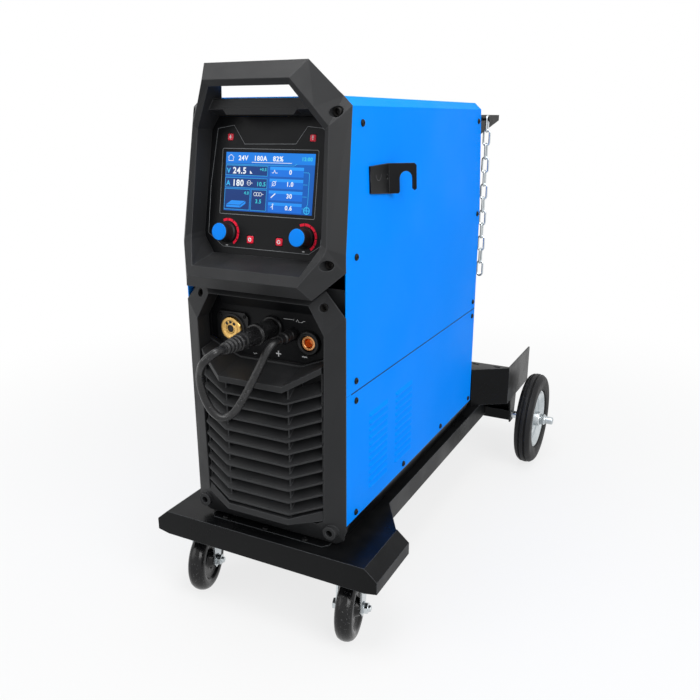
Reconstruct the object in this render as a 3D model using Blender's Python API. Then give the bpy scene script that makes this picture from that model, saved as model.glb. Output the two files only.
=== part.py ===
"""MIG welder standing on its four-wheel cart, as an assembly of separate pieces.

Metres, +Z up.  The front faces -Y.  Lengths along Y are written from the front edge of
the side panels, and the empty "welder" moves the whole assembly so that its footprint
is centred on the origin, with the floor at z = 0.
"""

import math

import bmesh
import bpy
from mathutils import Vector

# ---------------------------------------------------------------- driving dimensions
GAP = 0.0003                # between two pieces that touch
RUNNING_GAP = 0.0012        # between a turning piece and what holds it

CASE_WIDTH = 0.250
CASE_DEPTH = 0.527
PANEL_BOTTOM = 0.1866       # lower edge of the blue side panels
SEAM_HEIGHT = 0.3768        # between the upper cover and the lower side panels
BEND_HEIGHT = 0.5650        # above this the cover's sides lean inward
SHOULDER_HEIGHT = 0.7402    # where the cover's side folds over to the top
SHOULDER_HALF = CASE_WIDTH / 2 - 0.0065
TOP_HEIGHT = 0.7513
TOP_HALF = CASE_WIDTH / 2 - 0.0185   # half the width of the cover's flat top
FRONT_EDGE = -0.0125        # front edge of the blue shell, below BEND_HEIGHT
SHEET = 0.0015              # sheet steel of the case

DECK_TOP = 0.1514
DECK_FRONT = -0.0447
DECK_REAR = 0.0663
DECK_HALF = 0.1676          # flat top of the deck, before its sides slope down
DECK_LIP_HALF = 0.1868
DECK_SLOPE_DROP = 0.0165
DECK_LIP_DEPTH = 0.0182
DECK_FLANGE_DEPTH = 0.0385
DECK_TAPER_END = 0.132      # where the deck has narrowed to the rail
RAIL_HALF = 0.126
RAIL_END = CASE_DEPTH + 0.113
RAIL_DEPTH = 0.0345
PLATE = 0.003               # plate of the cart

TRAY_FRONT = CASE_DEPTH + 0.058
TRAY_CORNER = CASE_DEPTH + 0.103
TRAY_REAR = CASE_DEPTH + 0.273
TRAY_HALF = 0.175
TRAY_FRONT_HALF = 0.110
TRAY_TOP = 0.2305
TRAY_FLANGE_END = CASE_DEPTH + 0.1095
TRAY_SLOT_WIDTH = 0.009
TRAY_SLOT_LENGTH = 0.024
TRAY_SLOT_X = (0.104, 0.154)

REAR_WHEEL_RADIUS = 0.0975
REAR_AXLE_Y = CASE_DEPTH + 0.1824
REAR_WHEEL_X = 0.2124
TYRE_WIDTH = 0.034
RIM_RADIUS = 0.062
AXLE_RADIUS = 0.008
AXLE_REACH = REAR_WHEEL_X + 0.045   # half the length of the rear axle
AXLE_TUBE = 0.022           # square tube that carries the axle
BRACKET_X = 0.1660          # middle of each axle bracket plate
BRACKET_WIDTH = 0.050

CASTER_PLACE = {"left": (-0.1460, 0.0340), "right": (0.1180, 0.0300)}
CASTER_TURN = {"left": 15.0, "right": 12.0}   # degrees from straight ahead
CASTER_RADIUS = 0.050
CASTER_WIDTH = 0.027
CASTER_TRAIL = 0.030
CASTER_PLATE_WIDTH = 0.040
CASTER_PLATE_LENGTH = 0.056
CASTER_RACE_RADIUS = 0.0190
FORK_PLATE = 0.003
FORK_HALF = 0.0180          # middle of each fork cheek from the wheel's middle
CASTER_BOLT_RADIUS = 0.005

CHASSIS_FLOOR_HALF = CASE_WIDTH / 2 - 0.0155
CHASSIS_UPSTAND = 0.018
FOOT_HALF = 0.100
FOOT_FRONT = -0.026

HANDLE_TOP = 0.7918
HANDLE_HALF = 0.0757
HANDLE_REAR_Y = -0.0010      # back of the handle bar
SPLIT_HEIGHT = 0.542        # upper bezel's lower side corner
LIP_REACH = 0.0631          # how far the upper bezel's lower lip stands forward
LIP_HEIGHT = 0.5296
BEZEL_UNDERSIDE = 0.512
PANEL_LEAN = 0.1748         # run per rise of the leaning control panel
PANEL_FACE_Y = 0.016        # control panel's face at PANEL_FACE_Z
PANEL_FACE_Z = 0.683
CONTROL_THICKNESS = 0.003
CONTROL_HALF = 0.1010
CONTROL_TOP = 0.7277        # upper edge of the control panel
CONTROL_BOTTOM = 0.5471
BROW_FACE_Y = -0.0055       # front of the hood under the handle
BROW_LOW = 0.7362           # its lower edge at the sides
BROW_MIDDLE_LOW = 0.7298    # and in the middle
BROW_MIDDLE_HALF = 0.0497

SCREEN_WIDTH = 0.136
SCREEN_HEIGHT = 0.076
SCREEN_Z = 0.6455
SCREEN_THICKNESS = 0.0015
KNOB_X = 0.0595
KNOB_Z = 0.5795
KNOB_RADIUS = 0.0122
KNOB_SKIRT_RADIUS = 0.0138
KNOB_HEIGHT = 0.020
BUTTON_X = 0.0225
BUTTON_Z = 0.5722
BUTTON_SIDE = 0.0098
BUTTON_TRAVEL = 0.0008
LENS_X = 0.0625
LENS_Z = 0.7020
LENS_SIDE = 0.0085

UPPER_RECESSES = ((0.1045, 0.7330, 0.0105), (0.1086, 0.5535, -0.0200))   # x, z and floor

LOWER_FACE_Y = FRONT_EDGE - 0.0015
LOWER_RIDGE_Y = -0.027      # and its inner edge
LOWER_BOTTOM = 0.1560
OPENING_HALF = 0.0965
OPENING_BOTTOM = 0.1885
CONNECTOR_FACE_Y = 0.0092
CONNECTOR_BOTTOM = 0.4065
CONNECTOR_TOP = 0.5040

SLAT_COUNT = 10
SLAT_PITCH = 0.01825
SLAT_LOWEST = 0.2008
SLAT_FRONT_Y = -0.0425
SLAT_END_Y = -0.0265
SLAT_FACET_HALF = 0.0500
SLAT_END_HALF = 0.0955
SLAT_RISE = 0.0155          # the slats climb this much towards their ends
SLAT_DEPTH = 0.020
SLAT_THICKNESS = 0.0022
SILL_FRONT_Y = -0.0525
SILL_HEIGHT = 0.3924
SILL_LIP = 0.0085
SILL_CLIMB = 0.0180         # the sill's rear edge climbs this much towards its ends

EURO_X = -0.0640
EURO_Z = 0.4440
EURO_RADIUS = 0.0172
EURO_FLANGE_WIDTH = 0.052
EURO_FLANGE_HEIGHT = 0.046
PLUS_X = 0.0
PLUS_Z = 0.4515
LEAD_X = 0.0330
LEAD_Z = 0.4465
MINUS_X = 0.0580
MINUS_Z = 0.4370
SOCKET_RADIUS = 0.0172
SOCKET_BORE = 0.0112
LEAD_RADIUS = 0.0053
LEAD_GLAND_RADIUS = 0.0092
PLUG_END_Y = -0.105

LOUVRE_COUNT = 11
LOUVRE_PITCH = 0.0111
LOUVRE_LOWEST = 0.2130
LOUVRE_COLUMNS = ((0.057, 0.122), (0.150, 0.216))
LOUVRE_HEIGHT = 0.0062
LOUVRE_STAND = 0.0026

DOOR_FRONT = 0.030
DOOR_REAR = CASE_DEPTH - 0.027
DOOR_BOTTOM = 0.410
DOOR_TOP = 0.700
DOOR_CLEARANCE = 0.0012
DOOR_PIN_RADIUS = 0.0025
LATCH_Z = 0.424
LATCH_RADIUS = 0.0110
LATCH_ROOM = 0.030          # bare length of the door's lower edge on each side of the latch

DIVIDER_X = 0.0200
SPOOL_RADIUS = 0.100
SPOOL_WIDTH = 0.055
SPOOL_BORE = 0.0260
SPOOL_CORE = 0.082
SPOOL_Y = 0.330
SPOOL_Z = 0.560
HUB_STANDOFF = 0.030
FEEDER_Y = 0.110
ROLL_RADIUS = 0.0175
ROLL_WIDTH = 0.012
IDLER_RADIUS = 0.0160
WIRE_SPACE = 0.0012         # between the feed rolls, where the wire runs

SINK_FINS = 9
SINK_HALF = 0.072           # half the width across the heat sink's fins
SINK_BASE = 0.040
SINK_HEIGHT = 0.130
SINK_FRONT = 0.150
SINK_REAR = CASE_DEPTH - 0.087

FAN_RADIUS = 0.050
FAN_Z = 0.300
FAN_GUARD_RADIUS = 0.055
FAN_HUB_RADIUS = 0.018
SWITCH_X = 0.060
SWITCH_Z = 0.620
SWITCH_RADIUS = 0.022
INLET_Z = 0.235
GAS_X = -0.060
GLAND_X = 0.060

HOOK_Y = 0.0574
HOOK_BEND_Y = 0.1154
HOOK_LOW = 0.6283
HOOK_HIGH = 0.6682
HOOK_ARM = 0.0410
HOOK_PLATE = 0.0025
HOOK_ANGLE = 45.0

CRADLE_X = CASE_WIDTH / 2 - 0.010
CRADLE_REACH = 0.1215
CRADLE_TOP = 0.7312
CRADLE_LOW = 0.6955
CRADLE_NOSE = 0.010
BOTTLE_RADIUS = 0.100
BOTTLE_Y = CASE_DEPTH + 0.193
CHAIN_X = CASE_WIDTH / 2 + 0.0005
CHAIN_Y = CASE_DEPTH + 0.018
CHAIN_Z = 0.7240
CHAIN_PIN_RADIUS = 0.0028
LINK_COUNT = 12
LINK_PITCH = 0.0240
LINK_WIDTH = 0.0145
LINK_WIRE = 0.0019
LINK_BITE = 0.0003          # half of what neighbouring links share
LINK_STEPS = 4

# ---------------------------------------------------------------- values that follow
HALF = CASE_WIDTH / 2
INNER_HALF = HALF - SHEET
MIDDLE_Y = (REAR_AXLE_Y + REAR_WHEEL_RADIUS - LIP_REACH) / 2
FLOOR_Z = DECK_TOP + GAP
STEEL_RGB = (0.013, 0.014, 0.015)


# ---------------------------------------------------------------- shapes
def prism(outline, axis, low, high):
    """A flat outline pushed along x, y or z, as (points, faces)."""
    count = len(outline)
    order = {"x": (2, 0, 1), "y": (0, 2, 1), "z": (0, 1, 2)}[axis]
    points = []
    for depth in (low, high):
        for first, second in outline:
            values = (first, second, depth)
            points.append(tuple(values[place] for place in order))
    faces = [tuple(range(count)), tuple(range(2 * count - 1, count - 1, -1))]
    for i in range(count):
        j = (i + 1) % count
        faces.append((i, j, count + j, count + i))
    return points, faces


def box(low, high):
    """A box between two corners."""
    outline = [(low[0], low[1]), (high[0], low[1]), (high[0], high[1]), (low[0], high[1])]
    return prism(outline, "z", low[2], high[2])


def turned(profile, axis, centre, sides, ring=False):
    """A profile of (place along the axis, radius) turned round that axis.

    A radius of 0 closes the solid at a point.  With ring the profile is a closed loop
    that stays off the axis, so the solid has a bore.
    """
    index = "xyz".index(axis)
    others = [i for i in range(3) if i != index]
    points, rows = [], []
    for along, radius in profile:
        row = []
        for k in range(sides if radius > 0 else 1):
            turn = 2 * math.pi * k / sides
            point = [0.0, 0.0, 0.0]
            point[index] = centre[index] + along
            point[others[0]] = centre[others[0]] + radius * math.cos(turn)
            point[others[1]] = centre[others[1]] + radius * math.sin(turn)
            row.append(len(points))
            points.append(tuple(point))
        rows.append(row)
    faces = []
    pairs = list(zip(rows, rows[1:]))
    if ring:
        pairs.append((rows[-1], rows[0]))
    for near, far in pairs:
        for k in range(sides):
            a, b = near[k % len(near)], near[(k + 1) % len(near)]
            c, d = far[(k + 1) % len(far)], far[k % len(far)]
            face = tuple(dict.fromkeys((a, b, c, d)))
            if len(face) > 2:
                faces.append(face)
    if not ring:
        for row in (rows[0], rows[-1]):
            if len(row) > 1:
                faces.append(tuple(row))
    return points, faces


def rod(axis, centre, radius, low, high, sides=16):
    """A plain round bar from low to high along an axis through centre."""
    return turned([(low, radius), (high, radius)], axis, centre, sides)


def hollow(axis, centre, outer, inner, low, high, sides=24):
    """A round sleeve with a bore."""
    profile = [(low, outer), (high, outer), (high, inner), (low, inner)]
    return turned(profile, axis, centre, sides, ring=True)


def loft(rings, closed=False):
    """Equal rings of points joined one after another.

    closed joins the last ring to the first, which makes a frame with an opening;
    otherwise the two end rings are filled.
    """
    count = len(rings[0])
    points = [tuple(point) for loop in rings for point in loop]
    faces = []
    steps = len(rings) if closed else len(rings) - 1
    for step in range(steps):
        near = step * count
        far = ((step + 1) % len(rings)) * count
        for i in range(count):
            j = (i + 1) % count
            faces.append((near + i, near + j, far + j, far + i))
    if not closed:
        faces.append(tuple(range(count)))
        faces.append(tuple(range(len(points) - 1, len(points) - 1 - count, -1)))
    return points, faces


def mirrored(right_side):
    """A closed outline from its right half, given from top to bottom."""
    left_side = [(-x, *rest) for x, *rest in reversed(right_side)]
    return [tuple(point) for point in right_side] + left_side


def arc(centre, radius, start, end, steps):
    """Points on a circular arc in a plane, angles in degrees."""
    points = []
    for k in range(steps + 1):
        turn = math.radians(start + (end - start) * k / steps)
        points.append((centre[0] + radius * math.cos(turn), centre[1] + radius * math.sin(turn)))
    return points


# ---------------------------------------------------------------- objects
for old in list(bpy.data.objects):
    bpy.data.objects.remove(old, do_unlink=True)

scene = bpy.context.scene


def surface(name, colour, roughness, metallic=0.0):
    """A plain Principled material."""
    material = bpy.data.materials.new(name)
    material.use_nodes = True
    shader = material.node_tree.nodes["Principled BSDF"]
    shader.inputs["Base Color"].default_value = (*colour, 1.0)
    shader.inputs["Roughness"].default_value = roughness
    shader.inputs["Metallic"].default_value = metallic
    return material


BLUE = surface("blue_paint", (0.0, 0.262, 0.955), 0.42)
CART_BLACK = surface("black_powder_coat", STEEL_RGB, 0.38)
BRACKET_BLACK = surface("bracket_powder_coat", (0.020, 0.020, 0.021), 0.42)
PLASTIC = surface("black_plastic", (0.030, 0.030, 0.031), 0.62)
PANEL_PLASTIC = surface("panel_foil", (0.024, 0.025, 0.026), 0.50)
CONNECTOR_PLASTIC = surface("connector_plastic", (0.016, 0.016, 0.017), 0.48)
RUBBER = surface("black_rubber", (0.018, 0.018, 0.018), 0.60)
TYRE = surface("tyre_rubber", (0.024, 0.024, 0.025), 0.72)
WHEEL_BLACK = surface("caster_rubber", (0.010, 0.010, 0.011), 0.28)
ZINC = surface("zinc_plate", (0.62, 0.66, 0.70), 0.30, 1.0)
STEEL = surface("bare_steel", (0.48, 0.48, 0.50), 0.36, 1.0)
BRASS = surface("brass", (0.72, 0.47, 0.14), 0.24, 1.0)
ALUMINIUM = surface("aluminium", (0.70, 0.71, 0.72), 0.38, 1.0)
RED = surface("red_lens", (0.72, 0.012, 0.045), 0.35)
GLASS = surface("display_glass", (0.012, 0.10, 0.32), 0.12)
SPOOL_PLASTIC = surface("spool_plastic", (0.06, 0.06, 0.065), 0.55)

welder = bpy.data.objects.new("welder", None)
welder.location = (0.0, -MIDDLE_Y, 0.0)
scene.collection.objects.link(welder)


def pivot(name, place, turn=(0.0, 0.0, 0.0), parent=None):
    """An empty on a joint's axis; its children are drawn about it."""
    empty = bpy.data.objects.new(name, None)
    empty.location = place
    empty.rotation_euler = turn
    empty.parent = parent or welder
    scene.collection.objects.link(empty)
    return empty


def mesh_object(name, shapes, parent):
    """One object from one or more (points, faces) shapes, with faces turned outward."""
    grid = bmesh.new()
    for points, faces in shapes:
        corners = [grid.verts.new(point) for point in points]
        for face in faces:
            grid.faces.new([corners[i] for i in face])
    bmesh.ops.recalc_face_normals(grid, faces=grid.faces)
    mesh = bpy.data.meshes.new(name)
    grid.to_mesh(mesh)
    grid.free()
    item = bpy.data.objects.new(name, mesh)
    item.parent = parent or welder
    scene.collection.objects.link(item)
    return item


def piece(name, shape, material, parent=None, sharp=32.0):
    """A sub-part: one closed body with its material, round faces shaded smooth."""
    item = mesh_object(name, [shape], parent)
    item.data.materials.append(material)
    item.data.shade_smooth()
    item.data.set_sharp_from_angle(angle=math.radians(sharp))
    return item


def combine(item, operation, shapes):
    """Cut shapes out of a piece, or join them to it, one Boolean for each group.

    Shapes that are joined may overlap each other; shapes that are cut may not.
    """
    tool = mesh_object(f"{item.name}_{operation.lower()}_{len(item.modifiers)}", shapes, item.parent)
    tool.hide_render = True
    tool.display_type = "WIRE"
    step = item.modifiers.new(operation.lower(), "BOOLEAN")
    step.operation = operation
    step.solver = "EXACT"
    step.use_self = operation == "UNION" and len(shapes) > 1
    step.object = tool


def cut(item, *shapes):
    """Take shapes away from a piece."""
    combine(item, "DIFFERENCE", shapes)


def join(item, *shapes):
    """Add shapes that overlap a piece, so that it stays one body."""
    combine(item, "UNION", shapes)


# ---------------------------------------------------------------- cart
def deck_section(inset, bottom):
    """Outline across the deck, x against z, drawn in by the plate's thickness."""
    top = DECK_TOP - inset
    slope_foot = DECK_TOP - DECK_SLOPE_DROP - inset * 0.6
    return [
        (-DECK_HALF + inset * 0.5, top),
        (DECK_HALF - inset * 0.5, top),
        (DECK_LIP_HALF - inset, slope_foot),
        (DECK_LIP_HALF - inset, bottom[0]),
        (DECK_HALF, bottom[1]),
        (-DECK_HALF, bottom[1]),
        (-DECK_LIP_HALF + inset, bottom[0]),
        (-DECK_LIP_HALF + inset, slope_foot),
    ]


def rail_plan(inset, front):
    """Plan of the taper and the rail, x against y."""
    half = RAIL_HALF - inset
    wide = DECK_HALF - inset
    return [
        (-wide, front),
        (wide, front),
        (half, DECK_TAPER_END),
        (half, RAIL_END - inset),
        (-half, RAIL_END - inset),
        (-half, DECK_TAPER_END),
    ]


def make_cart_deck():
    lip_bottom = DECK_TOP - DECK_SLOPE_DROP - DECK_LIP_DEPTH
    flange_bottom = DECK_TOP - DECK_FLANGE_DEPTH
    outer = prism(deck_section(0.0, (lip_bottom, flange_bottom)), "y", DECK_FRONT, DECK_REAR)
    deck = piece("cart_deck", outer, CART_BLACK)
    join(deck, prism(rail_plan(0.0, DECK_REAR - PLATE), "z", DECK_TOP - RAIL_DEPTH, DECK_TOP))
    open_below = flange_bottom - PLATE
    inner = deck_section(PLATE, (open_below, open_below))
    cut(deck, prism(inner, "y", DECK_FRONT + PLATE, DECK_REAR - PLATE))
    cut(deck, prism(rail_plan(PLATE, DECK_REAR - 3 * PLATE), "z", open_below, DECK_TOP - PLATE))


def tray_plan(inset, rear):
    """Plan of the bottle tray, x against y."""
    half = TRAY_HALF - inset
    return [
        (-TRAY_FRONT_HALF + inset / 2, TRAY_FRONT + inset),
        (TRAY_FRONT_HALF - inset / 2, TRAY_FRONT + inset),
        (half, TRAY_CORNER + inset / 2),
        (half, rear),
        (-half, rear),
        (-half, TRAY_CORNER + inset / 2),
    ]


def make_bottle_tray():
    floor_top = FLOOR_Z + PLATE
    tray = piece("bottle_tray", prism(tray_plan(0.0, TRAY_REAR), "z", FLOOR_Z, TRAY_TOP), CART_BLACK)
    well = tray_plan(PLATE, TRAY_REAR + PLATE)
    cut(tray, prism(well, "z", floor_top, TRAY_TOP + PLATE))
    shelf = tray_plan(PLATE / 2, TRAY_FLANGE_END)
    join(tray, prism(shelf, "z", TRAY_TOP - PLATE, TRAY_TOP))
    slots = []
    for side in (-1, 1):
        for x in TRAY_SLOT_X:
            reach = TRAY_SLOT_LENGTH / 2 - TRAY_SLOT_WIDTH / 2
            middle = (TRAY_CORNER + TRAY_FLANGE_END) / 2 - TRAY_SLOT_WIDTH
            centre = side * x if x == TRAY_SLOT_X[0] else side * (x - TRAY_SLOT_WIDTH / 2)
            half = TRAY_SLOT_WIDTH / 2
            ends = arc((centre + reach * 0.6, middle), half * 0.7, -90, 90, 4)
            ends += arc((centre - reach * 0.6, middle), half * 0.7, 90, 270, 4)
            slots.append(prism(ends, "z", TRAY_TOP - 2 * PLATE, TRAY_TOP + PLATE))
    cut(tray, *slots)


def make_axle_bracket():
    """Square tube under the tray with a plate at each end, hung from the tray's floor."""
    half = AXLE_TUBE / 2
    low, high = REAR_AXLE_Y - half, REAR_AXLE_Y + half
    reach = BRACKET_X + PLATE / 2
    axle_z = REAR_WHEEL_RADIUS
    tube = box((-reach, low, axle_z - half), (reach, high, axle_z + half))
    bracket = piece("axle_bracket", tube, CART_BLACK)
    plates = []
    for side in (-1, 1):
        x = side * BRACKET_X
        outline = [
            (REAR_AXLE_Y - BRACKET_WIDTH / 2, FLOOR_Z - GAP),
            (REAR_AXLE_Y + BRACKET_WIDTH / 2, FLOOR_Z - GAP),
            (high + PLATE, axle_z - half - PLATE),
            (low - PLATE, axle_z - half - PLATE),
        ]
        plates.append(prism(outline, "x", x - PLATE / 2, x + PLATE / 2))
    flange_half = BRACKET_X - PLATE / 2
    plates.append(box((-flange_half - PLATE / 2, high - PLATE, axle_z), (flange_half + PLATE / 2, high, FLOOR_Z - GAP)))
    join(bracket, *plates)
    cut(bracket, rod("x", (0, REAR_AXLE_Y, axle_z), AXLE_RADIUS + GAP, -2 * reach, 2 * reach, 20))


def make_rear_wheels():
    axle_z = REAR_WHEEL_RADIUS
    dome = AXLE_RADIUS * 0.5
    profile = [
        (-AXLE_REACH, 0.0),
        (-AXLE_REACH + dome * 0.35, AXLE_RADIUS * 0.62),
        (-AXLE_REACH + dome, AXLE_RADIUS),
        (AXLE_REACH - dome, AXLE_RADIUS),
        (AXLE_REACH - dome * 0.35, AXLE_RADIUS * 0.62),
        (AXLE_REACH, 0.0),
    ]
    piece("rear_axle", turned(profile, "x", (0, REAR_AXLE_Y, axle_z), 20), ZINC)
    half = TYRE_WIDTH / 2
    for side, name in ((-1, "left"), (1, "right")):
        axis = pivot(f"wheel_{name}_axis", (side * REAR_WHEEL_X, REAR_AXLE_Y, axle_z))
        radius = REAR_WHEEL_RADIUS
        seat = RIM_RADIUS + GAP
        tread = [
            (-half * 0.62, seat),
            (-half * 0.92, seat + 0.004),
            (-half, radius - 0.016),
            (-half * 0.84, radius - 0.005),
            (-half * 0.42, radius - 0.0008),
            (-half * 0.30, radius),
            (-half * 0.18, radius - 0.0015),
            (half * 0.18, radius - 0.0015),
            (half * 0.30, radius),
            (half * 0.42, radius - 0.0008),
            (half * 0.84, radius - 0.005),
            (half, radius - 0.016),
            (half * 0.92, seat + 0.004),
            (half * 0.62, seat),
        ]
        piece(f"rear_tyre_{name}", turned(tread, "x", (0, 0, 0), 36, ring=True), TYRE, axis)
        hub = AXLE_RADIUS + GAP
        web = side * half * 0.15
        face = side * half * 0.72
        rim = [
            (face, RIM_RADIUS - 0.0025),
            (face, RIM_RADIUS),
            (-face, RIM_RADIUS),
            (-face, RIM_RADIUS - 0.0025),
            (-side * half * 0.30, RIM_RADIUS - 0.006),
            (-side * half * 0.15, 0.030),
            (-side * half * 0.15, 0.0165),
            (-side * half * 1.15, 0.0150),
            (-side * half * 1.15, hub),
            (side * half * 1.10, hub),
            (side * half * 1.10, 0.0150),
            (web + side * 0.002, 0.0165),
            (web, 0.030),
            (side * half * 0.20, RIM_RADIUS - 0.012),
            (side * half * 0.42, RIM_RADIUS - 0.006),
        ]
        piece(f"rear_rim_{name}", turned(rim, "x", (0, 0, 0), 28, ring=True), ZINC, axis)
        start = REAR_WHEEL_X + half * 1.10 + RUNNING_GAP / 2
        nut = [
            (side * start, AXLE_RADIUS + GAP),
            (side * start, 0.0130),
            (side * (start + 0.0070), 0.0130),
            (side * (start + 0.0110), 0.0105),
            (side * (start + 0.0110), AXLE_RADIUS + GAP),
        ]
        piece(f"axle_nut_{name}", turned(nut, "x", (0, REAR_AXLE_Y, axle_z), 12, ring=True), ZINC)


def make_casters():
    for name, (x, y) in CASTER_PLACE.items():
        top = DECK_TOP - PLATE - GAP
        wide, long = CASTER_PLATE_WIDTH / 2, CASTER_PLATE_LENGTH / 2
        plate_shape = box((x - wide, y - long, top - PLATE), (x + wide, y + long, top))
        plate = piece(f"caster_plate_{name}", plate_shape, ZINC)
        race_top = top - PLATE
        race_low = race_top - 0.014
        race = [
            (race_top + PLATE / 2, CASTER_RACE_RADIUS),
            (race_top - 0.004, CASTER_RACE_RADIUS),
            (race_low, CASTER_RACE_RADIUS * 0.74),
        ]
        join(plate, turned(race, "z", (x, y, 0), 20))

        swivel = pivot(f"swivel_{name}_axis", (x, y, 0), (0, 0, math.radians(CASTER_TURN[name])))
        crown_top = race_low - GAP
        crown_low = crown_top - FORK_PLATE
        reach = FORK_HALF + FORK_PLATE / 2
        wheel_y = -CASTER_TRAIL
        axle_z = CASTER_RADIUS
        crown = [
            (-reach, 0.018),
            (-reach, -0.028),
            (reach, -0.028),
            (reach, 0.018),
        ]
        fork = piece(f"caster_fork_{name}", prism(crown, "z", crown_low, crown_top), ZINC, swivel)
        cheek = [
            (0.018, crown_top),
            (0.013, crown_low - 0.012),
            (wheel_y + 0.012, axle_z - 0.004),
            (wheel_y + 0.005, axle_z - 0.011),
            (wheel_y - 0.006, axle_z - 0.011),
            (wheel_y - 0.012, axle_z - 0.003),
            (wheel_y - 0.010, axle_z + 0.012),
            (-0.028, crown_top),
        ]
        cheeks = []
        for hand in (-1, 1):
            middle = hand * FORK_HALF
            cheeks.append(prism(cheek, "x", middle - FORK_PLATE / 2, middle + FORK_PLATE / 2))
        join(fork, *cheeks)
        bolt_hole = CASTER_BOLT_RADIUS + GAP
        cut(fork, rod("x", (0, wheel_y, axle_z), bolt_hole, -2 * reach, 2 * reach, 16))

        head = reach + GAP
        bolt = [
            (-head - 0.006, 0.0),
            (-head - 0.006, 0.0080),
            (-head, 0.0085),
            (-head, CASTER_BOLT_RADIUS),
            (head, CASTER_BOLT_RADIUS),
            (head, 0.0090),
            (head + 0.007, 0.0085),
            (head + 0.007, CASTER_BOLT_RADIUS),
            (head + 0.011, CASTER_BOLT_RADIUS * 0.9),
            (head + 0.011, 0.0),
        ]
        piece(f"caster_bolt_{name}", turned(bolt, "x", (0, wheel_y, axle_z), 12), ZINC, swivel)

        spin = pivot(f"caster_wheel_{name}_axis", (0, wheel_y, axle_z), parent=swivel)
        half = CASTER_WIDTH / 2
        bore = CASTER_BOLT_RADIUS + GAP
        boss = FORK_HALF - FORK_PLATE / 2 - RUNNING_GAP / 2
        wheel = [
            (-boss, bore),
            (-boss, 0.0120),
            (-half * 0.70, 0.0150),
            (-half * 0.62, 0.0300),
            (-half * 0.95, 0.0345),
            (-half * 0.90, 0.0430),
            (-half * 0.55, 0.0486),
            (0.0, CASTER_RADIUS),
            (half * 0.55, 0.0486),
            (half * 0.90, 0.0430),
            (half * 0.95, 0.0345),
            (half * 0.62, 0.0300),
            (half * 0.70, 0.0150),
            (boss, 0.0120),
            (boss, bore),
        ]
        piece(f"caster_wheel_{name}", turned(wheel, "x", (0, 0, 0), 28, ring=True), WHEEL_BLACK, spin)


# ---------------------------------------------------------------- case
def make_base_chassis():
    """Folded pan that stands on the deck: floor, sloping sides and upstands."""
    end = CASE_DEPTH - 2 * SHEET - GAP
    low, high = FLOOR_Z, PANEL_BOTTOM - GAP
    upstand = INNER_HALF - GAP
    outer = [
        (CHASSIS_FLOOR_HALF, low),
        (HALF - SHEET / 2, high - SHEET),
        (HALF - SHEET / 2, high),
        (upstand, high),
        (upstand, PANEL_BOTTOM + CHASSIS_UPSTAND),
        (upstand - SHEET, PANEL_BOTTOM + CHASSIS_UPSTAND),
        (upstand - SHEET, high - SHEET),
        (CHASSIS_FLOOR_HALF - SHEET / 2, low + SHEET),
    ]
    section = outer + [(-x, z) for x, z in reversed(outer)]
    chassis = piece("base_chassis", prism(section, "y", GAP, end), CART_BLACK)
    foot = [
        (-FOOT_HALF, 2 * SHEET),
        (-FOOT_HALF, FOOT_FRONT + 0.008),
        (-FOOT_HALF + 0.008, FOOT_FRONT),
        (FOOT_HALF - 0.008, FOOT_FRONT),
        (FOOT_HALF, FOOT_FRONT + 0.008),
        (FOOT_HALF, 2 * SHEET),
    ]
    join(chassis, prism(foot, "z", low, low + SHEET))


def side_x(z):
    """Outer face of the cover's side at a height."""
    if z <= BEND_HEIGHT:
        return HALF
    lean = (HALF - SHOULDER_HALF) / (SHOULDER_HEIGHT - BEND_HEIGHT)
    return HALF - lean * (z - BEND_HEIGHT)


def front_y(z):
    """Front edge of the blue shell at a height."""
    return FRONT_EDGE + max(0.0, z - BEND_HEIGHT) * PANEL_LEAN


def cover_outline(inset, bottom):
    """Right half of the cover's outline, from the top down, drawn in by an inset."""
    return [
        (TOP_HALF - inset * 0.4, TOP_HEIGHT - inset),
        (SHOULDER_HALF - inset, SHOULDER_HEIGHT - inset * 0.4),
        (HALF - inset, BEND_HEIGHT),
        (HALF - inset, bottom),
    ]


def make_case_cover():
    """Top and both upper sides in one bent sheet, with the door opening on the left."""
    bottom = SEAM_HEIGHT + GAP
    outer = mirrored(cover_outline(0.0, bottom))
    inner = mirrored(cover_outline(SHEET, bottom))
    middle = len(outer) // 2
    section = outer[middle:] + outer[:middle] + inner[:middle][::-1] + inner[middle:][::-1]
    cover = piece("case_cover", prism(section, "y", FRONT_EDGE, CASE_DEPTH), BLUE)
    above = TOP_HEIGHT + 0.010
    lean = [
        (FRONT_EDGE - 0.010, BEND_HEIGHT),
        (FRONT_EDGE, BEND_HEIGHT),
        (front_y(above), above),
        (FRONT_EDGE - 0.010, above),
    ]
    cut(cover, prism(lean, "x", -HALF - 0.010, HALF + 0.010))
    opening = [
        (DOOR_FRONT, DOOR_BOTTOM),
        (DOOR_REAR, DOOR_BOTTOM),
        (DOOR_REAR, DOOR_TOP),
        (DOOR_FRONT, DOOR_TOP),
    ]
    cut(cover, prism(opening, "x", -HALF - SHEET, -SHOULDER_HALF + 2 * SHEET))
    ears = []
    root = -side_x(DOOR_TOP) + SHEET / 2
    for y in (DOOR_FRONT, DOOR_REAR):
        back = 1 if y == DOOR_REAR else -1
        ear = [
            (root, DOOR_TOP - 0.014),
            (root, DOOR_TOP + 0.004),
            (root + 0.011, DOOR_TOP + 0.004),
            (root + 0.011, DOOR_TOP - 0.014),
        ]
        near, far = sorted((y + back * GAP, y + back * (0.004 + GAP)))
        ears.append(prism(ear, "y", near, far))
    join(cover, *ears)
    for y in (DOOR_FRONT, DOOR_REAR):
        back = 1 if y == DOOR_REAR else -1
        low, high = sorted((y - back * 0.001, y + back * 0.0032))
        centre = (door_axis()[0], 0, door_axis()[2])
        cut(cover, rod("y", centre, DOOR_PIN_RADIUS + GAP, low, high, 12))


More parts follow.
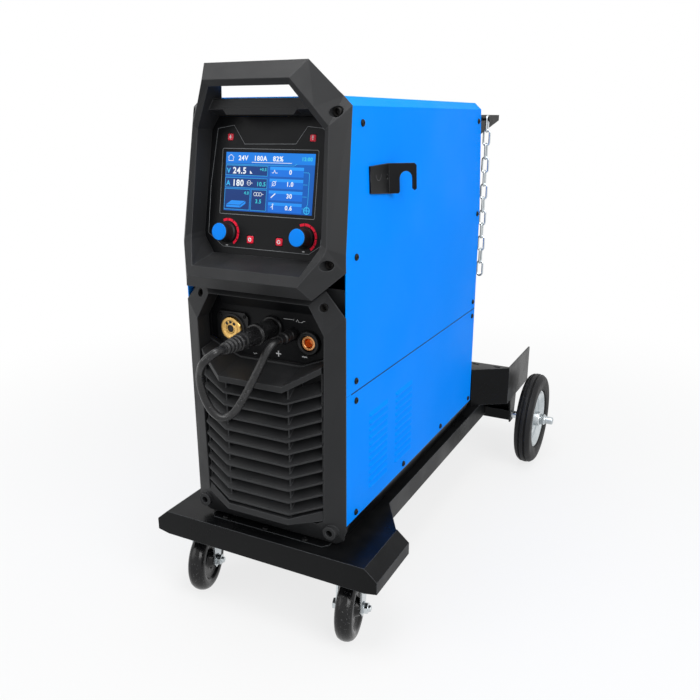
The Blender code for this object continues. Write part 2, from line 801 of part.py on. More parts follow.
def door_axis():
    """Hinge line of the side door: just inside the sheet, near the top edge."""
    return (-side_x(DOOR_TOP) + 0.0065, (DOOR_FRONT + DOOR_REAR) / 2, DOOR_TOP - 0.0070)


def make_side_door():
    """Spool compartment door, hinged along its top edge, with a latch at the bottom."""
    ax, ay, az = door_axis()
    axis = pivot("door_axis", (ax, ay, az))
    front = DOOR_FRONT + DOOR_CLEARANCE - ay
    rear = DOOR_REAR - DOOR_CLEARANCE - ay
    top = DOOR_TOP - DOOR_CLEARANCE * 1.6 - az
    bottom = DOOR_BOTTOM + DOOR_CLEARANCE - az
    outer_x = -HALF - ax
    top_x = -side_x(az + top) - ax
    bend = BEND_HEIGHT - az
    skin = [
        (outer_x, bottom),
        (outer_x, bend),
        (top_x, top),
        (top_x + SHEET, top),
        (outer_x + SHEET, bend),
        (outer_x + SHEET, bottom),
    ]
    door = piece("side_door", prism(skin, "y", front, rear), BLUE, axis)
    lug_depth = 0.0055
    lugs = []
    for y, back in ((front, -1), (rear, 1)):
        low, high = sorted((y, y - back * 0.004))
        lugs.append(box((top_x, low, -0.0045), (lug_depth - 0.001, high, 0.0035)))
        pin_low, pin_high = sorted((y - back * 0.002, y + back * 0.0036))
        lugs.append(rod("y", (0, 0, 0), DOOR_PIN_RADIUS, pin_low, pin_high, 12))
    stiffener = 0.008
    for low, high in ((front + 0.002, -LATCH_ROOM), (LATCH_ROOM, rear - 0.002)):
        lugs.append(box((outer_x + SHEET / 2, low, bottom), (outer_x + stiffener, high, bottom + SHEET)))
    join(door, *lugs)
    cut(door, rod("x", (0, 0, LATCH_Z - az), 0.0045, outer_x - SHEET, outer_x + 2 * SHEET, 16))

    latch_axis = pivot("latch_axis", (0, 0, LATCH_Z - az), parent=axis)
    head = [
        (outer_x - GAP - 0.0045, 0.0),
        (outer_x - GAP - 0.0045, LATCH_RADIUS * 0.86),
        (outer_x - GAP - 0.0030, LATCH_RADIUS),
        (outer_x - GAP, LATCH_RADIUS),
        (outer_x - GAP, 0.0040),
        (outer_x + SHEET + GAP + 0.004, 0.0040),
        (outer_x + SHEET + GAP + 0.004, 0.0),
    ]
    latch = piece("door_latch", turned(head, "x", (0, 0, 0), 24), PLASTIC, latch_axis)
    inside = outer_x + SHEET + GAP
    join(latch, box((inside, -0.0050, -0.0045), (inside + 0.0025, 0.0240, 0.0045)))
    slot = box((outer_x - 0.0060, -LATCH_RADIUS * 0.7, -0.0010), (outer_x - 0.0033, LATCH_RADIUS * 0.7, 0.0010))
    cut(latch, slot)


def make_lower_panels():
    """Blue panels below the seam, with pressed louvres that open downward."""
    for side, name in ((-1, "left"), (1, "right")):
        low_x, high_x = sorted((side * HALF, side * INNER_HALF))
        shape = box((low_x, FRONT_EDGE, PANEL_BOTTOM), (high_x, CASE_DEPTH, SEAM_HEIGHT - GAP))
        panel = piece(f"lower_panel_{name}", shape, BLUE)
        louvres = []
        for start, end in LOUVRE_COLUMNS:
            for k in range(LOUVRE_COUNT):
                z = LOUVRE_LOWEST + k * LOUVRE_PITCH
                louvres.append(louvre(side, start, end, z))
        join(panel, *louvres)


def louvre(side, start, end, z):
    """One pressed hood: a wedge that is deepest along its lower edge."""
    root = side * (HALF - SHEET / 2)
    skin = side * HALF
    out = side * (HALF + LOUVRE_STAND)
    taper = LOUVRE_HEIGHT * 0.8
    back = [(root, start, z), (root, end, z), (root, end, z + LOUVRE_HEIGHT), (root, start, z + LOUVRE_HEIGHT)]
    middle = [(skin, y, height) for _, y, height in back]
    front = [
        (out, start + taper, z),
        (out, end - taper, z),
        (out, end - taper, z + LOUVRE_HEIGHT * 0.22),
        (out, start + taper, z + LOUVRE_HEIGHT * 0.22),
    ]
    return loft([back, middle, front])


def make_rear_panel():
    """Rear plate with the fan guard, its hub, and holes for switch, gas and mains."""
    front = CASE_DEPTH - 2 * SHEET
    back = front + SHEET
    right = cover_outline(SHEET + GAP, PANEL_BOTTOM) + [(CHASSIS_FLOOR_HALF, FLOOR_Z)]
    plate = piece("rear_panel", prism(mirrored(right), "y", front, back), CART_BLACK)
    sectors = []
    count = 8
    for k in range(count):
        start = 360.0 * k / count + 6
        end = 360.0 * (k + 1) / count - 6
        for inner, outer in ((FAN_HUB_RADIUS + 0.002, 0.035), (0.038, FAN_GUARD_RADIUS)):
            outline = arc((0, FAN_Z), outer, start, end, 3) + arc((0, FAN_Z), inner, end, start, 2)
            sectors.append(prism(outline, "y", front - SHEET, back + SHEET))
    cut(plate, *sectors)
    shaft_end = front - 0.0160
    join(
        plate,
        rod("y", (0, 0, FAN_Z), FAN_HUB_RADIUS, front - 0.0020, back - SHEET / 3, 24),
        rod("y", (0, 0, FAN_Z), 0.0030, shaft_end, front, 12),
    )
    cut(
        plate,
        rod("y", (SWITCH_X, 0, SWITCH_Z), 0.0050, front - SHEET, back + SHEET, 16),
        rod("y", (GAS_X, 0, INLET_Z), 0.0068, front - SHEET, back + SHEET, 16),
        rod("y", (GLAND_X, 0, INLET_Z), 0.0098, front - SHEET, back + SHEET, 20),
    )


def make_rear_fittings():
    """Fan, mains switch, gas inlet and mains cable gland."""
    front = CASE_DEPTH - 2 * SHEET
    back = front + SHEET
    axis = pivot("fan_axis", (0, front - 0.0085, FAN_Z))
    depth = 0.0060
    fan = piece("cooling_fan", hollow("y", (0, 0, 0), 0.016, 0.0034, -depth, depth, 20), PLASTIC, axis)
    blades = []
    for k in range(5):
        turn = 2 * math.pi * k / 5
        blade = []
        for radius, twist in ((0.014, 0.75), (FAN_RADIUS, 0.45)):
            ring = []
            for u, v in ((-1, -1), (1, -1), (1, 1), (-1, 1)):
                across = u * 0.011 * math.cos(twist) - v * 0.0008 * math.sin(twist)
                along = u * 0.0055 * math.sin(twist) + v * 0.0008 * math.cos(twist)
                angle = turn + across / radius
                ring.append((radius * math.cos(angle), along, radius * math.sin(angle)))
            blade.append(ring)
        blades.append(loft(blade))
    join(fan, *blades)

    switch = pivot("mains_switch_axis", (SWITCH_X, back, SWITCH_Z))
    knob = [
        (-SHEET - 0.006, 0.0),
        (-SHEET - 0.006, 0.0045),
        (GAP, 0.0045),
        (GAP, SWITCH_RADIUS),
        (0.006, SWITCH_RADIUS * 0.96),
        (0.006, 0.0),
    ]
    body = piece("mains_switch", turned(knob, "y", (0, 0, 0), 28), PLASTIC, switch)
    join(body, box((-0.0045, 0.004, -SWITCH_RADIUS * 0.86), (0.0045, 0.017, SWITCH_RADIUS * 0.86)))

    barb = [
        (-SHEET - 0.010, 0.0),
        (-SHEET - 0.010, 0.0062),
        (GAP, 0.0062),
        (GAP, 0.0100),
        (0.006, 0.0100),
        (0.006, 0.0055),
        (0.012, 0.0045),
        (0.0125, 0.0058),
        (0.018, 0.0045),
        (0.0185, 0.0056),
        (0.024, 0.0040),
        (0.024, 0.0),
    ]
    piece("gas_inlet", turned(barb, "y", (GAS_X, back, INLET_Z), 12), BRASS)

    gland = [
        (-SHEET - 0.010, 0.0060),
        (-SHEET - 0.010, 0.0090),
        (GAP, 0.0090),
        (GAP, 0.0140),
        (0.007, 0.0140),
        (0.009, 0.0120),
        (0.020, 0.0115),
        (0.024, 0.0080),
        (0.024, 0.0060),
    ]
    piece("mains_gland", turned(gland, "y", (GLAND_X, back, INLET_Z), 16, ring=True), PLASTIC)


def make_inner_frame():
    """Shelf at the seam and upright divider between the spool side and the electronics."""
    top = TOP_HEIGHT - SHEET - GAP
    low = SEAM_HEIGHT - SHEET
    fit = INNER_HALF - GAP
    right_x = DIVIDER_X + SHEET / 2
    left_x = DIVIDER_X - SHEET / 2
    section = [
        (-fit, low),
        (fit, low),
        (fit, SEAM_HEIGHT),
        (right_x, SEAM_HEIGHT),
        (right_x, top),
        (left_x, top),
        (left_x, SEAM_HEIGHT),
        (-fit, SEAM_HEIGHT),
    ]
    end = CASE_DEPTH - 2 * SHEET - GAP
    piece("inner_frame", prism(section, "y", 0.030, end), ALUMINIUM)


# ---------------------------------------------------------------- front
def panel_y(z):
    """Face of the leaning control panel at a height."""
    return PANEL_FACE_Y - (PANEL_FACE_Z - z) * PANEL_LEAN


def make_upper_bezel():
    """Moulded front frame: the handle bar, the sides and the forward lower lip."""
    rim = 0.0015
    inside = 0.0035
    outer = [
        (HANDLE_HALF, -0.0120, HANDLE_TOP),
        (TOP_HALF, front_y(TOP_HEIGHT) - rim, TOP_HEIGHT - GAP),
        (SHOULDER_HALF, front_y(SHOULDER_HEIGHT) - rim, SHOULDER_HEIGHT),
        (HALF, FRONT_EDGE - rim, BEND_HEIGHT),
        (HALF, FRONT_EDGE - rim, SPLIT_HEIGHT),
        (0.0961, -0.0491, BEZEL_UNDERSIDE),
    ]
    ridge = [
        (0.0629, -0.0356, HANDLE_TOP - 0.0212),
        (0.0857, -0.0196, SHOULDER_HEIGHT - 0.0018),
        (0.1009, -0.0105, SHOULDER_HEIGHT - 0.0232),
        (0.1078, -0.0320, SPLIT_HEIGHT + 0.0320),
        (0.1060, -0.0370, SPLIT_HEIGHT + 0.0230),
        (0.0830, -LIP_REACH, LIP_HEIGHT),
    ]
    chamfer = [
        (0.0585, -0.0290, HANDLE_TOP - 0.0288),
        (0.0802, -0.0165, SHOULDER_HEIGHT - 0.0080),
        (0.0946, -0.0085, SHOULDER_HEIGHT - 0.0282),
        (0.0987, -0.0290, SPLIT_HEIGHT + 0.0365),
        (0.0970, -0.0325, SPLIT_HEIGHT + 0.0290),
        (0.0816, -0.0535, LIP_HEIGHT + 0.0114),
    ]
    inner = [(0.0585, HANDLE_REAR_Y, HANDLE_TOP - 0.0268)]
    sight_edge = (
        (0.0785, SHOULDER_HEIGHT - 0.0060),
        (0.0925, SHOULDER_HEIGHT - 0.0290),
        (0.0965, SPLIT_HEIGHT + 0.0375),
        (0.0950, SPLIT_HEIGHT + 0.0300),
        (0.0800, LIP_HEIGHT + 0.0224),
    )
    inner += [(x, panel_y(z) - GAP, z) for x, z in sight_edge]
    step = [(0.0620, HANDLE_REAR_Y + 0.0010, HANDLE_TOP - 0.0200)]
    land_edge = (
        (0.0880, SHOULDER_HEIGHT),
        (0.1030, SHOULDER_HEIGHT - 0.0180),
        (0.1075, SPLIT_HEIGHT + 0.0290),
        (0.1060, SPLIT_HEIGHT + 0.0200),
        (0.0880, LIP_HEIGHT + 0.0100),
    )
    step += [(x, panel_y(z) - GAP, z) for x, z in land_edge]
    rear = [
        (HANDLE_HALF - 0.0040, HANDLE_REAR_Y - 0.0050, HANDLE_TOP - 0.0020),
        (TOP_HALF, front_y(TOP_HEIGHT) - GAP, TOP_HEIGHT - GAP),
        (SHOULDER_HALF, front_y(SHOULDER_HEIGHT) - GAP, SHOULDER_HEIGHT),
        (HALF, FRONT_EDGE - GAP, BEND_HEIGHT),
        (HALF, FRONT_EDGE - GAP, SPLIT_HEIGHT + GAP),
        (0.0961, FRONT_EDGE - GAP, BEZEL_UNDERSIDE + 0.0070),
    ]
    seat = [(HANDLE_HALF - 0.0080, HANDLE_REAR_Y - 0.0015, HANDLE_TOP - 0.0100)]
    for x, y, z in rear[1:]:
        drop = inside * ((z > BEND_HEIGHT) - (z < BEND_HEIGHT))
        seat.append((x - inside, y, z - drop))
    rings = [mirrored(side) for side in (outer, ridge, chamfer, inner, step, seat, rear)]
    bezel = piece("upper_bezel", loft(rings, closed=True), PLASTIC, sharp=28)
    brow_top = TOP_HEIGHT - SHEET - 2 * GAP
    brow_rear = panel_y(CONTROL_TOP) + CONTROL_THICKNESS + GAP
    brow = [
        (BROW_FACE_Y, brow_top - 0.0015),
        (BROW_FACE_Y + 0.0020, brow_top),
        (brow_rear, brow_top),
        (brow_rear, CONTROL_TOP + GAP),
        (panel_y(CONTROL_TOP) - 0.0020, CONTROL_TOP + GAP),
        (BROW_FACE_Y, BROW_LOW),
    ]
    hood = [
        (-BROW_MIDDLE_HALF - 0.0065, BROW_LOW + 0.0015),
        (BROW_MIDDLE_HALF + 0.0065, BROW_LOW + 0.0015),
        (BROW_MIDDLE_HALF, BROW_MIDDLE_LOW),
        (-BROW_MIDDLE_HALF, BROW_MIDDLE_LOW),
    ]
    join(
        bezel,
        prism(brow, "x", -0.0865, 0.0865),
        prism(hood, "y", BROW_FACE_Y - GAP, panel_y(CONTROL_TOP) - 0.0050),
    )
    recesses = []
    for side in (-1, 1):
        for x, z, floor in UPPER_RECESSES:
            recesses.append(rod("y", (side * x, 0, z), 0.0066, -0.070, floor, 16))
    cut(bezel, *recesses)
    behind = front_y(TOP_HEIGHT) - GAP
    cut(bezel, box((-HALF, behind, TOP_HEIGHT - SHEET - GAP), (HALF, 0.060, HANDLE_TOP + 0.010)))


def make_lower_bezel():
    """Frame round the connectors and the grille, with a flange behind it."""
    front = LOWER_FACE_Y
    outer = [
        (0.0970, front, BEZEL_UNDERSIDE + 0.0045),
        (HALF, front, 0.4840),
        (HALF, front, 0.1800),
        (0.1212, front, 0.1640),
        (0.1090, front, LOWER_BOTTOM),
    ]
    ridge = [
        (0.0780, LOWER_RIDGE_Y, 0.4985),
        (0.1000, LOWER_RIDGE_Y, 0.4610),
        (OPENING_HALF, LOWER_RIDGE_Y, 0.2010),
        (0.0962, LOWER_RIDGE_Y, 0.1945),
        (0.0860, LOWER_RIDGE_Y, OPENING_BOTTOM),
    ]
    back = -0.0012
    inner = [(x, back, z) for x, _, z in ridge]
    behind = [(x + 0.0080, back, z + (0.0050 if z > 0.4 else -0.0080)) for x, _, z in ridge]
    rise = (-0.0030, 0.0, 0.0, 0.0015, 0.0030)
    seat = [(x - 0.0035, FRONT_EDGE - GAP, z + up) for (x, _, z), up in zip(outer, rise)]
    rear = [(x, FRONT_EDGE - GAP, z) for x, _, z in outer]
    rings = [mirrored(side) for side in (outer, ridge, inner, behind, seat, rear)]
    bezel = piece("lower_bezel", loft(rings, closed=True), PLASTIC, sharp=28)
    flange_top = BEZEL_UNDERSIDE + 0.0060
    flange_half = INNER_HALF - 2 * GAP
    border = [
        (0.0900, flange_top),
        (flange_half, flange_top),
        (flange_half, 0.1840),
        (0.1190, 0.1680),
        (0.1080, LOWER_BOTTOM + 0.0010),
    ]
    hole = [(x + 0.0030, z + (0.0030 if z > 0.3 else -0.0030)) for x, _, z in ridge]
    flange = [
        [(x, -0.0024, z) for x, z in mirrored(border)],
        [(x, -0.0024, z) for x, z in mirrored(hole)],
        [(x, -GAP, z) for x, z in mirrored(hole)],
        [(x, -GAP, z) for x, z in mirrored(border)],
    ]
    join(bezel, loft(flange, closed=True))
    bosses, holes = [], []
    for side in (-1, 1):
        bosses.append(rod("y", (side * 0.1058, 0, 0.1790), 0.0098, -0.0290, -0.0100, 20))
        holes.append(rod("y", (side * 0.1058, 0, 0.1790), 0.0050, -0.0400, -0.0140, 16))
        holes.append(rod("y", (side * 0.0965, 0, 0.4965), 0.0056, -0.0400, -0.0120, 16))
    join(bezel, *bosses)
    cut(bezel, *holes)


def slat_section(y, z):
    """Section of one sloping slat at a place on its front edge."""
    rise = SLAT_DEPTH * 0.72
    return [
        (y, z - SLAT_THICKNESS / 2),
        (y, z + SLAT_THICKNESS / 2),
        (y + SLAT_DEPTH, z + SLAT_THICKNESS / 2 + rise),
        (y + SLAT_DEPTH, z - SLAT_THICKNESS / 2 + rise),
    ]


def across_front(section_at):
    """Loft a section over the three facets of the bowed front."""
    stations = []
    for x, end in ((-SLAT_END_HALF, 1), (-SLAT_FACET_HALF, 0), (SLAT_FACET_HALF, 0), (SLAT_END_HALF, 1)):
        stations.append([(x, y, z) for y, z in section_at(end)])
    return loft(stations)


def sill_climb(x):
    """How far the sill's rear edge has climbed at a distance from the middle."""
    return SILL_CLIMB * (x - SLAT_FACET_HALF) / (SLAT_END_HALF - SLAT_FACET_HALF)


def make_front_grille():
    """Air grille of sloping slats on a frame, with the sill on top."""
    back = CONNECTOR_FACE_Y - GAP
    plate_half = OPENING_HALF + 0.0080
    plate_low = OPENING_BOTTOM - 0.0060
    plate = [
        (SLAT_FACET_HALF, CONNECTOR_BOTTOM - 2 * GAP),
        (plate_half, CONNECTOR_BOTTOM - 2 * GAP + sill_climb(plate_half)),
        (plate_half, plate_low),
    ]
    grille = piece("front_grille", prism(mirrored(plate), "y", GAP, back), PLASTIC, sharp=28)
    window_top = SLAT_LOWEST + (SLAT_COUNT - 1) * SLAT_PITCH
    cut(grille, box((-0.0900, -0.010, OPENING_BOTTOM + 0.010), (0.0900, 0.020, window_top)))
    shapes = []
    for k in range(SLAT_COUNT):
        z = SLAT_LOWEST + k * SLAT_PITCH

        def slat(end, z=z):
            y = SLAT_END_Y if end else SLAT_FRONT_Y
            return slat_section(y, z + end * SLAT_RISE)

        shapes.append(across_front(slat))

    def sill(end):
        y = SILL_FRONT_Y + end * 0.0249
        z = SILL_HEIGHT + end * 0.0256
        rear_y = CONNECTOR_FACE_Y + 0.0015
        rear_z = CONNECTOR_BOTTOM - GAP + end * SILL_CLIMB
        return [(y, z), (y + 0.0010, z - SILL_LIP), (rear_y, rear_z - 0.0120), (rear_y, rear_z)]

    def wedge(end):
        y = -0.0457 + end * 0.0180
        z = 0.1865 + end * 0.0100
        top = SLAT_LOWEST - SLAT_PITCH * 0.35 + end * SLAT_RISE
        low = OPENING_BOTTOM + 2 * GAP + end * 0.0065
        return [(y, z), (y + 0.0024, top), (0.0030, top + 0.0060), (0.0030, low), (LOWER_RIDGE_Y - 0.0012, low)]

    shapes.append(across_front(sill))
    shapes.append(across_front(wedge))
    for side in (-1, 1):
        x = side * SLAT_FACET_HALF
        low_y, high_y = SLAT_FRONT_Y + 0.0060, 0.0030
        low_z = OPENING_BOTTOM + 3 * GAP
        shapes.append(box((x - 0.0010, low_y, low_z), (x + 0.0010, high_y, SILL_HEIGHT - 0.006)))
        x = side * (SLAT_END_HALF - 0.0012)
        shapes.append(box((x - 0.0012, SLAT_END_Y + 0.004, OPENING_BOTTOM + 0.012), (x + 0.0012, 0.0030, SILL_HEIGHT + 0.0196)))
    join(grille, *shapes)


def make_connector_panel():
    """Recessed plate that carries the sockets, with walls forward to the bezel."""
    face = CONNECTOR_FACE_Y
    edge_half = 0.1060
    right = [
        (0.0840, CONNECTOR_TOP),
        (edge_half, 0.4660),
        (edge_half, CONNECTOR_BOTTOM + sill_climb(edge_half)),
        (SLAT_FACET_HALF, CONNECTOR_BOTTOM),
    ]
    panel = piece("connector_panel", prism(mirrored(right), "y", GAP, face + 0.0030), PANEL_PLASTIC)
    pocket = [
        (0.0815, CONNECTOR_TOP - 0.0025),
        (0.1035, 0.4653),
        (0.1035, CONNECTOR_BOTTOM - 0.010),
        (SLAT_FACET_HALF, CONNECTOR_BOTTOM - 0.010),
    ]
    cut(panel, prism(mirrored(pocket), "y", -0.010, face))
    brow = [
        (0.0006, CONNECTOR_TOP - 0.0010),
        (0.0006, 0.4925),
        (face + 0.001, 0.4745),
        (face + 0.001, CONNECTOR_TOP - 0.0010),
    ]
    brow_rings = []
    for x in (-0.0820, 0.0820):
        brow_rings.append([(x, y, z) for y, z in brow])
    join(panel, loft(brow_rings))
    through_low, through_high = face - 0.004, face + 0.010
    cut(
        panel,
        rod("y", (EURO_X, 0, EURO_Z), EURO_RADIUS + 2 * GAP, through_low, through_high, 28),
        rod("y", (PLUS_X, 0, PLUS_Z), SOCKET_BORE + 0.0018, through_low, through_high, 28),
        rod("y", (MINUS_X, 0, MINUS_Z), SOCKET_BORE + 0.0018, through_low, through_high, 28),
        rod("y", (LEAD_X, 0, LEAD_Z), 0.0055, through_low, through_high, 20),
    )


def tilt():
    """Turn of a piece that stands square on the leaning control panel."""
    return (-math.atan(PANEL_LEAN), 0.0, 0.0)


def make_control_panel():
    """Leaning panel with pockets for the screen and lenses and holes for the rest."""
    corner = 0.0150
    place = (0, panel_y(SCREEN_Z), SCREEN_Z)
    frame = pivot("control_panel_frame", place, tilt())
    top = on_panel(CONTROL_TOP)
    bottom = on_panel(CONTROL_BOTTOM)
    right = [
        (CONTROL_HALF - corner, top),
        (CONTROL_HALF, top - corner),
        (CONTROL_HALF + 0.002, bottom + corner * 1.8),
        (CONTROL_HALF - corner, bottom),
    ]
    shape = prism(mirrored(right), "y", 0.0, CONTROL_THICKNESS)
    panel = piece("control_panel", shape, PANEL_PLASTIC, frame)
    pocket_x = SCREEN_WIDTH / 2 + GAP
    pocket_z = SCREEN_HEIGHT / 2 + GAP
    depth = SCREEN_THICKNESS + GAP
    cutters = [box((-pocket_x, -0.002, -pocket_z), (pocket_x, depth, pocket_z))]
    through = CONTROL_THICKNESS * 2
    for side in (-1, 1):
        z = on_panel(BUTTON_Z)
        half_hole = BUTTON_SIDE / 2 + 2 * GAP
        x = side * BUTTON_X
        cutters.append(box((x - half_hole, -0.002, z - half_hole), (x + half_hole, through, z + half_hole)))
        z = on_panel(LENS_Z)
        half_hole = LENS_SIDE / 2 + GAP
        x = side * LENS_X
        cutters.append(box((x - half_hole, -0.002, z - half_hole), (x + half_hole, depth, z + half_hole)))
        cutters.append(rod("y", (side * KNOB_X, 0, on_panel(KNOB_Z)), 0.0036, -0.002, through, 16))
    cut(panel, *cutters)

    screen_low = (-SCREEN_WIDTH / 2, GAP / 2, -SCREEN_HEIGHT / 2)
    screen_high = (SCREEN_WIDTH / 2, SCREEN_THICKNESS, SCREEN_HEIGHT / 2)
    piece("display_screen", box(screen_low, screen_high), GLASS, frame)

    for side, name in ((-1, "left"), (1, "right")):
        half_side = LENS_SIDE / 2
        x, z = side * LENS_X, on_panel(LENS_Z)
        lens = box((x - half_side, -0.0006, z - half_side), (x + half_side, SCREEN_THICKNESS, z + half_side))
        piece(f"indicator_lens_{name}", lens, RED, frame)

        axis = pivot(f"button_{name}_axis", (side * BUTTON_X, 0, on_panel(BUTTON_Z)), parent=frame)
        half_side = BUTTON_SIDE / 2
        back = CONTROL_THICKNESS + GAP
        cap = box((-half_side, -0.0012, -half_side), (half_side, back + 0.0006, half_side))
        button = piece(f"push_button_{name}", cap, RED, axis)
        collar = half_side + 0.0018
        join(button, box((-collar, back, -collar), (collar, back + 0.0012, collar)))

        axis = pivot(f"knob_{name}_axis", (side * KNOB_X, 0, on_panel(KNOB_Z)), parent=frame)
        knob = [
            (CONTROL_THICKNESS + 0.006, 0.0),
            (CONTROL_THICKNESS + 0.006, 0.0030),
            (-GAP, 0.0030),
            (-GAP, KNOB_SKIRT_RADIUS),
            (-0.0030, KNOB_SKIRT_RADIUS),
            (-0.0055, KNOB_RADIUS),
            (-KNOB_HEIGHT + 0.0012, KNOB_RADIUS * 0.985),
            (-KNOB_HEIGHT, KNOB_RADIUS * 0.88),
            (-KNOB_HEIGHT, 0.0),
        ]
        piece(f"control_knob_{name}", turned(knob, "y", (0, 0, 0), 24), BLUE, axis)


def on_panel(z):
    """Height measured along the leaning panel from the screen's middle."""
    return (z - SCREEN_Z) / math.cos(math.atan(PANEL_LEAN))


# ---------------------------------------------------------------- connectors
def make_connectors():
    face = CONNECTOR_FACE_Y - GAP
    wide, tall = EURO_FLANGE_WIDTH / 2, EURO_FLANGE_HEIGHT / 2
    corner = 0.006
    outline = [
        (EURO_X - wide, EURO_Z - tall + corner),
        (EURO_X - wide + corner, EURO_Z - tall),
        (EURO_X + wide - corner, EURO_Z - tall),
        (EURO_X + wide, EURO_Z - tall + corner),
        (EURO_X + wide, EURO_Z + tall - corner),
        (EURO_X + wide - corner, EURO_Z + tall),
        (EURO_X - wide + corner, EURO_Z + tall),
        (EURO_X - wide, EURO_Z + tall - corner),
    ]
    flange = piece("euro_flange", prism(outline, "y", face - 0.0035, face), CONNECTOR_PLASTIC)
    centre = (EURO_X, 0, EURO_Z)
    join(flange, rod("y", centre, EURO_RADIUS + 0.0035, face - 0.0060, face - 0.0010, 28))
    cut(flange, rod("y", centre, EURO_RADIUS + GAP, face - 0.020, face + 0.010, 28))
    barrel = [
        (face + 0.022, 0.0),
        (face + 0.022, EURO_RADIUS * 0.80),
        (face + 0.010, EURO_RADIUS),
        (face - 0.0085, EURO_RADIUS),
        (face - 0.0095, EURO_RADIUS - 0.0010),
        (face - 0.0095, 0.0044),
        (face + 0.0050, 0.0040),
        (face + 0.0050, 0.0),
    ]
    euro = piece("euro_socket", turned(barrel, "y", centre, 20), BRASS)
    pins = []
    for turn in (50, 90, 130):
        x = EURO_X + 0.0095 * math.cos(math.radians(turn))
        z = EURO_Z + 0.0085 * math.sin(math.radians(turn))
        pins.append(rod("y", (x, 0, z), 0.0015, face - 0.020, face - 0.002, 8))
    cut(euro, *pins)

    ring = [
        (face, SOCKET_BORE),
        (face + 0.020, SOCKET_BORE),
        (face + 0.020, SOCKET_BORE + 0.0015),
        (face, SOCKET_BORE + 0.0015),
        (face, SOCKET_RADIUS),
        (face - 0.0035, SOCKET_RADIUS),
        (face - 0.0050, SOCKET_RADIUS - 0.0020),
        (face - 0.0050, SOCKET_BORE),
    ]
    piece("plus_socket", turned(ring, "y", (PLUS_X, 0, PLUS_Z), 20, ring=True), CONNECTOR_PLASTIC)
    piece("minus_socket", turned(ring, "y", (MINUS_X, 0, MINUS_Z), 20, ring=True), CONNECTOR_PLASTIC)
    insert = [
        (face + 0.018, 0.0),
        (face + 0.018, SOCKET_BORE - GAP),
        (face - 0.0020, SOCKET_BORE - GAP),
        (face - 0.0030, SOCKET_BORE - 0.0012),
        (face - 0.0030, 0.0062),
        (face + 0.0120, 0.0058),
        (face + 0.0120, 0.0),
    ]
    piece("minus_insert", turned(insert, "y", (MINUS_X, 0, MINUS_Z), 16), BRASS)

    plug = [
        (face + 0.014, 0.0),
        (face + 0.014, SOCKET_BORE - GAP),
        (face - 0.0053, SOCKET_BORE - GAP),
        (face - 0.0053, 0.0128),
        (-0.0260, 0.0128),
        (-0.0275, 0.0150),
        (-0.0335, 0.0150),
        (-0.0350, 0.0128),
        (-0.0620, 0.0122),
        (-0.0680, 0.0100),
    ]
    ribs = 5
    step = (PLUG_END_Y + 0.0720) / ribs
    for k in range(ribs):
        y = -0.0700 + k * step
        radius = 0.0112 - 0.0008 * k
        plug += [(y, radius), (y + step * 0.55, radius - 0.0003), (y + step * 0.70, radius - 0.0018)]
    plug += [(PLUG_END_Y, LEAD_RADIUS + 0.0012), (PLUG_END_Y, 0.0)]
    piece("jumper_plug", turned(plug, "y", (PLUS_X, 0, PLUS_Z), 16), RUBBER)

    gland = [
        (face + 0.012, 0.0),
        (face + 0.012, 0.0052),
        (face, 0.0052),
        (face, LEAD_GLAND_RADIUS),
        (face - 0.0120, LEAD_GLAND_RADIUS - 0.0004),
        (face - 0.0130, LEAD_GLAND_RADIUS - 0.0014),
        (face - 0.0210, LEAD_GLAND_RADIUS - 0.0016),
        (face - 0.0225, LEAD_GLAND_RADIUS - 0.0006),
        (face - 0.0265, LEAD_GLAND_RADIUS - 0.0008),
        (face - 0.0280, LEAD_GLAND_RADIUS - 0.0026),
        (lead_exit()[1] + GAP, LEAD_RADIUS + 0.0009),
        (lead_exit()[1] + GAP, 0.0),
    ]
    piece("lead_gland", turned(gland, "y", (LEAD_X, 0, LEAD_Z), 12), CONNECTOR_PLASTIC)


def lead_exit():
    """Where the jumper lead leaves its gland."""
    return (LEAD_X, CONNECTOR_FACE_Y - 0.0375, LEAD_Z)


def make_jumper_lead():
    """The short polarity lead, from the gland round in one loop to the plug's boot."""
    x, y, z = lead_exit()
    route = [
        (x, y, z),
        (x, y - 0.011, z),
        (0.0290, -0.0490, 0.4380),
        (0.0215, -0.0570, 0.4180),
        (0.0125, -0.0680, 0.3930),
        (0.0060, -0.0790, 0.3740),
        (-0.0010, -0.0890, 0.3600),
        (-0.0110, -0.0990, 0.3560),
        (-0.0205, -0.1060, 0.3650),
        (-0.0275, -0.1110, 0.3830),
        (-0.0290, -0.1160, 0.4030),
        (-0.0235, -0.1225, 0.4230),
        (-0.0120, -0.1280, 0.4400),
        (PLUS_X, -0.1190, PLUS_Z),
        (PLUS_X, PLUG_END_Y - GAP, PLUS_Z),
    ]
    points = smooth_route(route, 5)
    curve = bpy.data.curves.new("jumper_lead", "CURVE")
    curve.dimensions = "3D"
    spline = curve.splines.new("POLY")
    spline.points.add(len(points) - 1)
    for spot, point in zip(spline.points, points):
        spot.co = (*point, 1.0)
    curve.bevel_depth = LEAD_RADIUS
    curve.bevel_resolution = 2
    curve.use_fill_caps = True
    curve.materials.append(RUBBER)
    lead = bpy.data.objects.new("jumper_lead", curve)
    lead.parent = welder
    scene.collection.objects.link(lead)


def smooth_route(route, steps):
    """Points on a smooth curve through the route's points, straight at both ends."""
    spots = [Vector(point) for point in route]
    points = [spots[0]]
    for i in range(1, len(spots) - 2):
        before, start, end, after = spots[i - 1], spots[i], spots[i + 1], spots[i + 2]
        for k in range(steps):
            t = k / steps
            points.append(
                0.5 * (2 * start + (end - before) * t
                       + (2 * before - 5 * start + 4 * end - after) * t * t
                       + (3 * start - before - 3 * end + after) * t ** 3)
            )
    points += [spots[-2], spots[-1]]
    return points


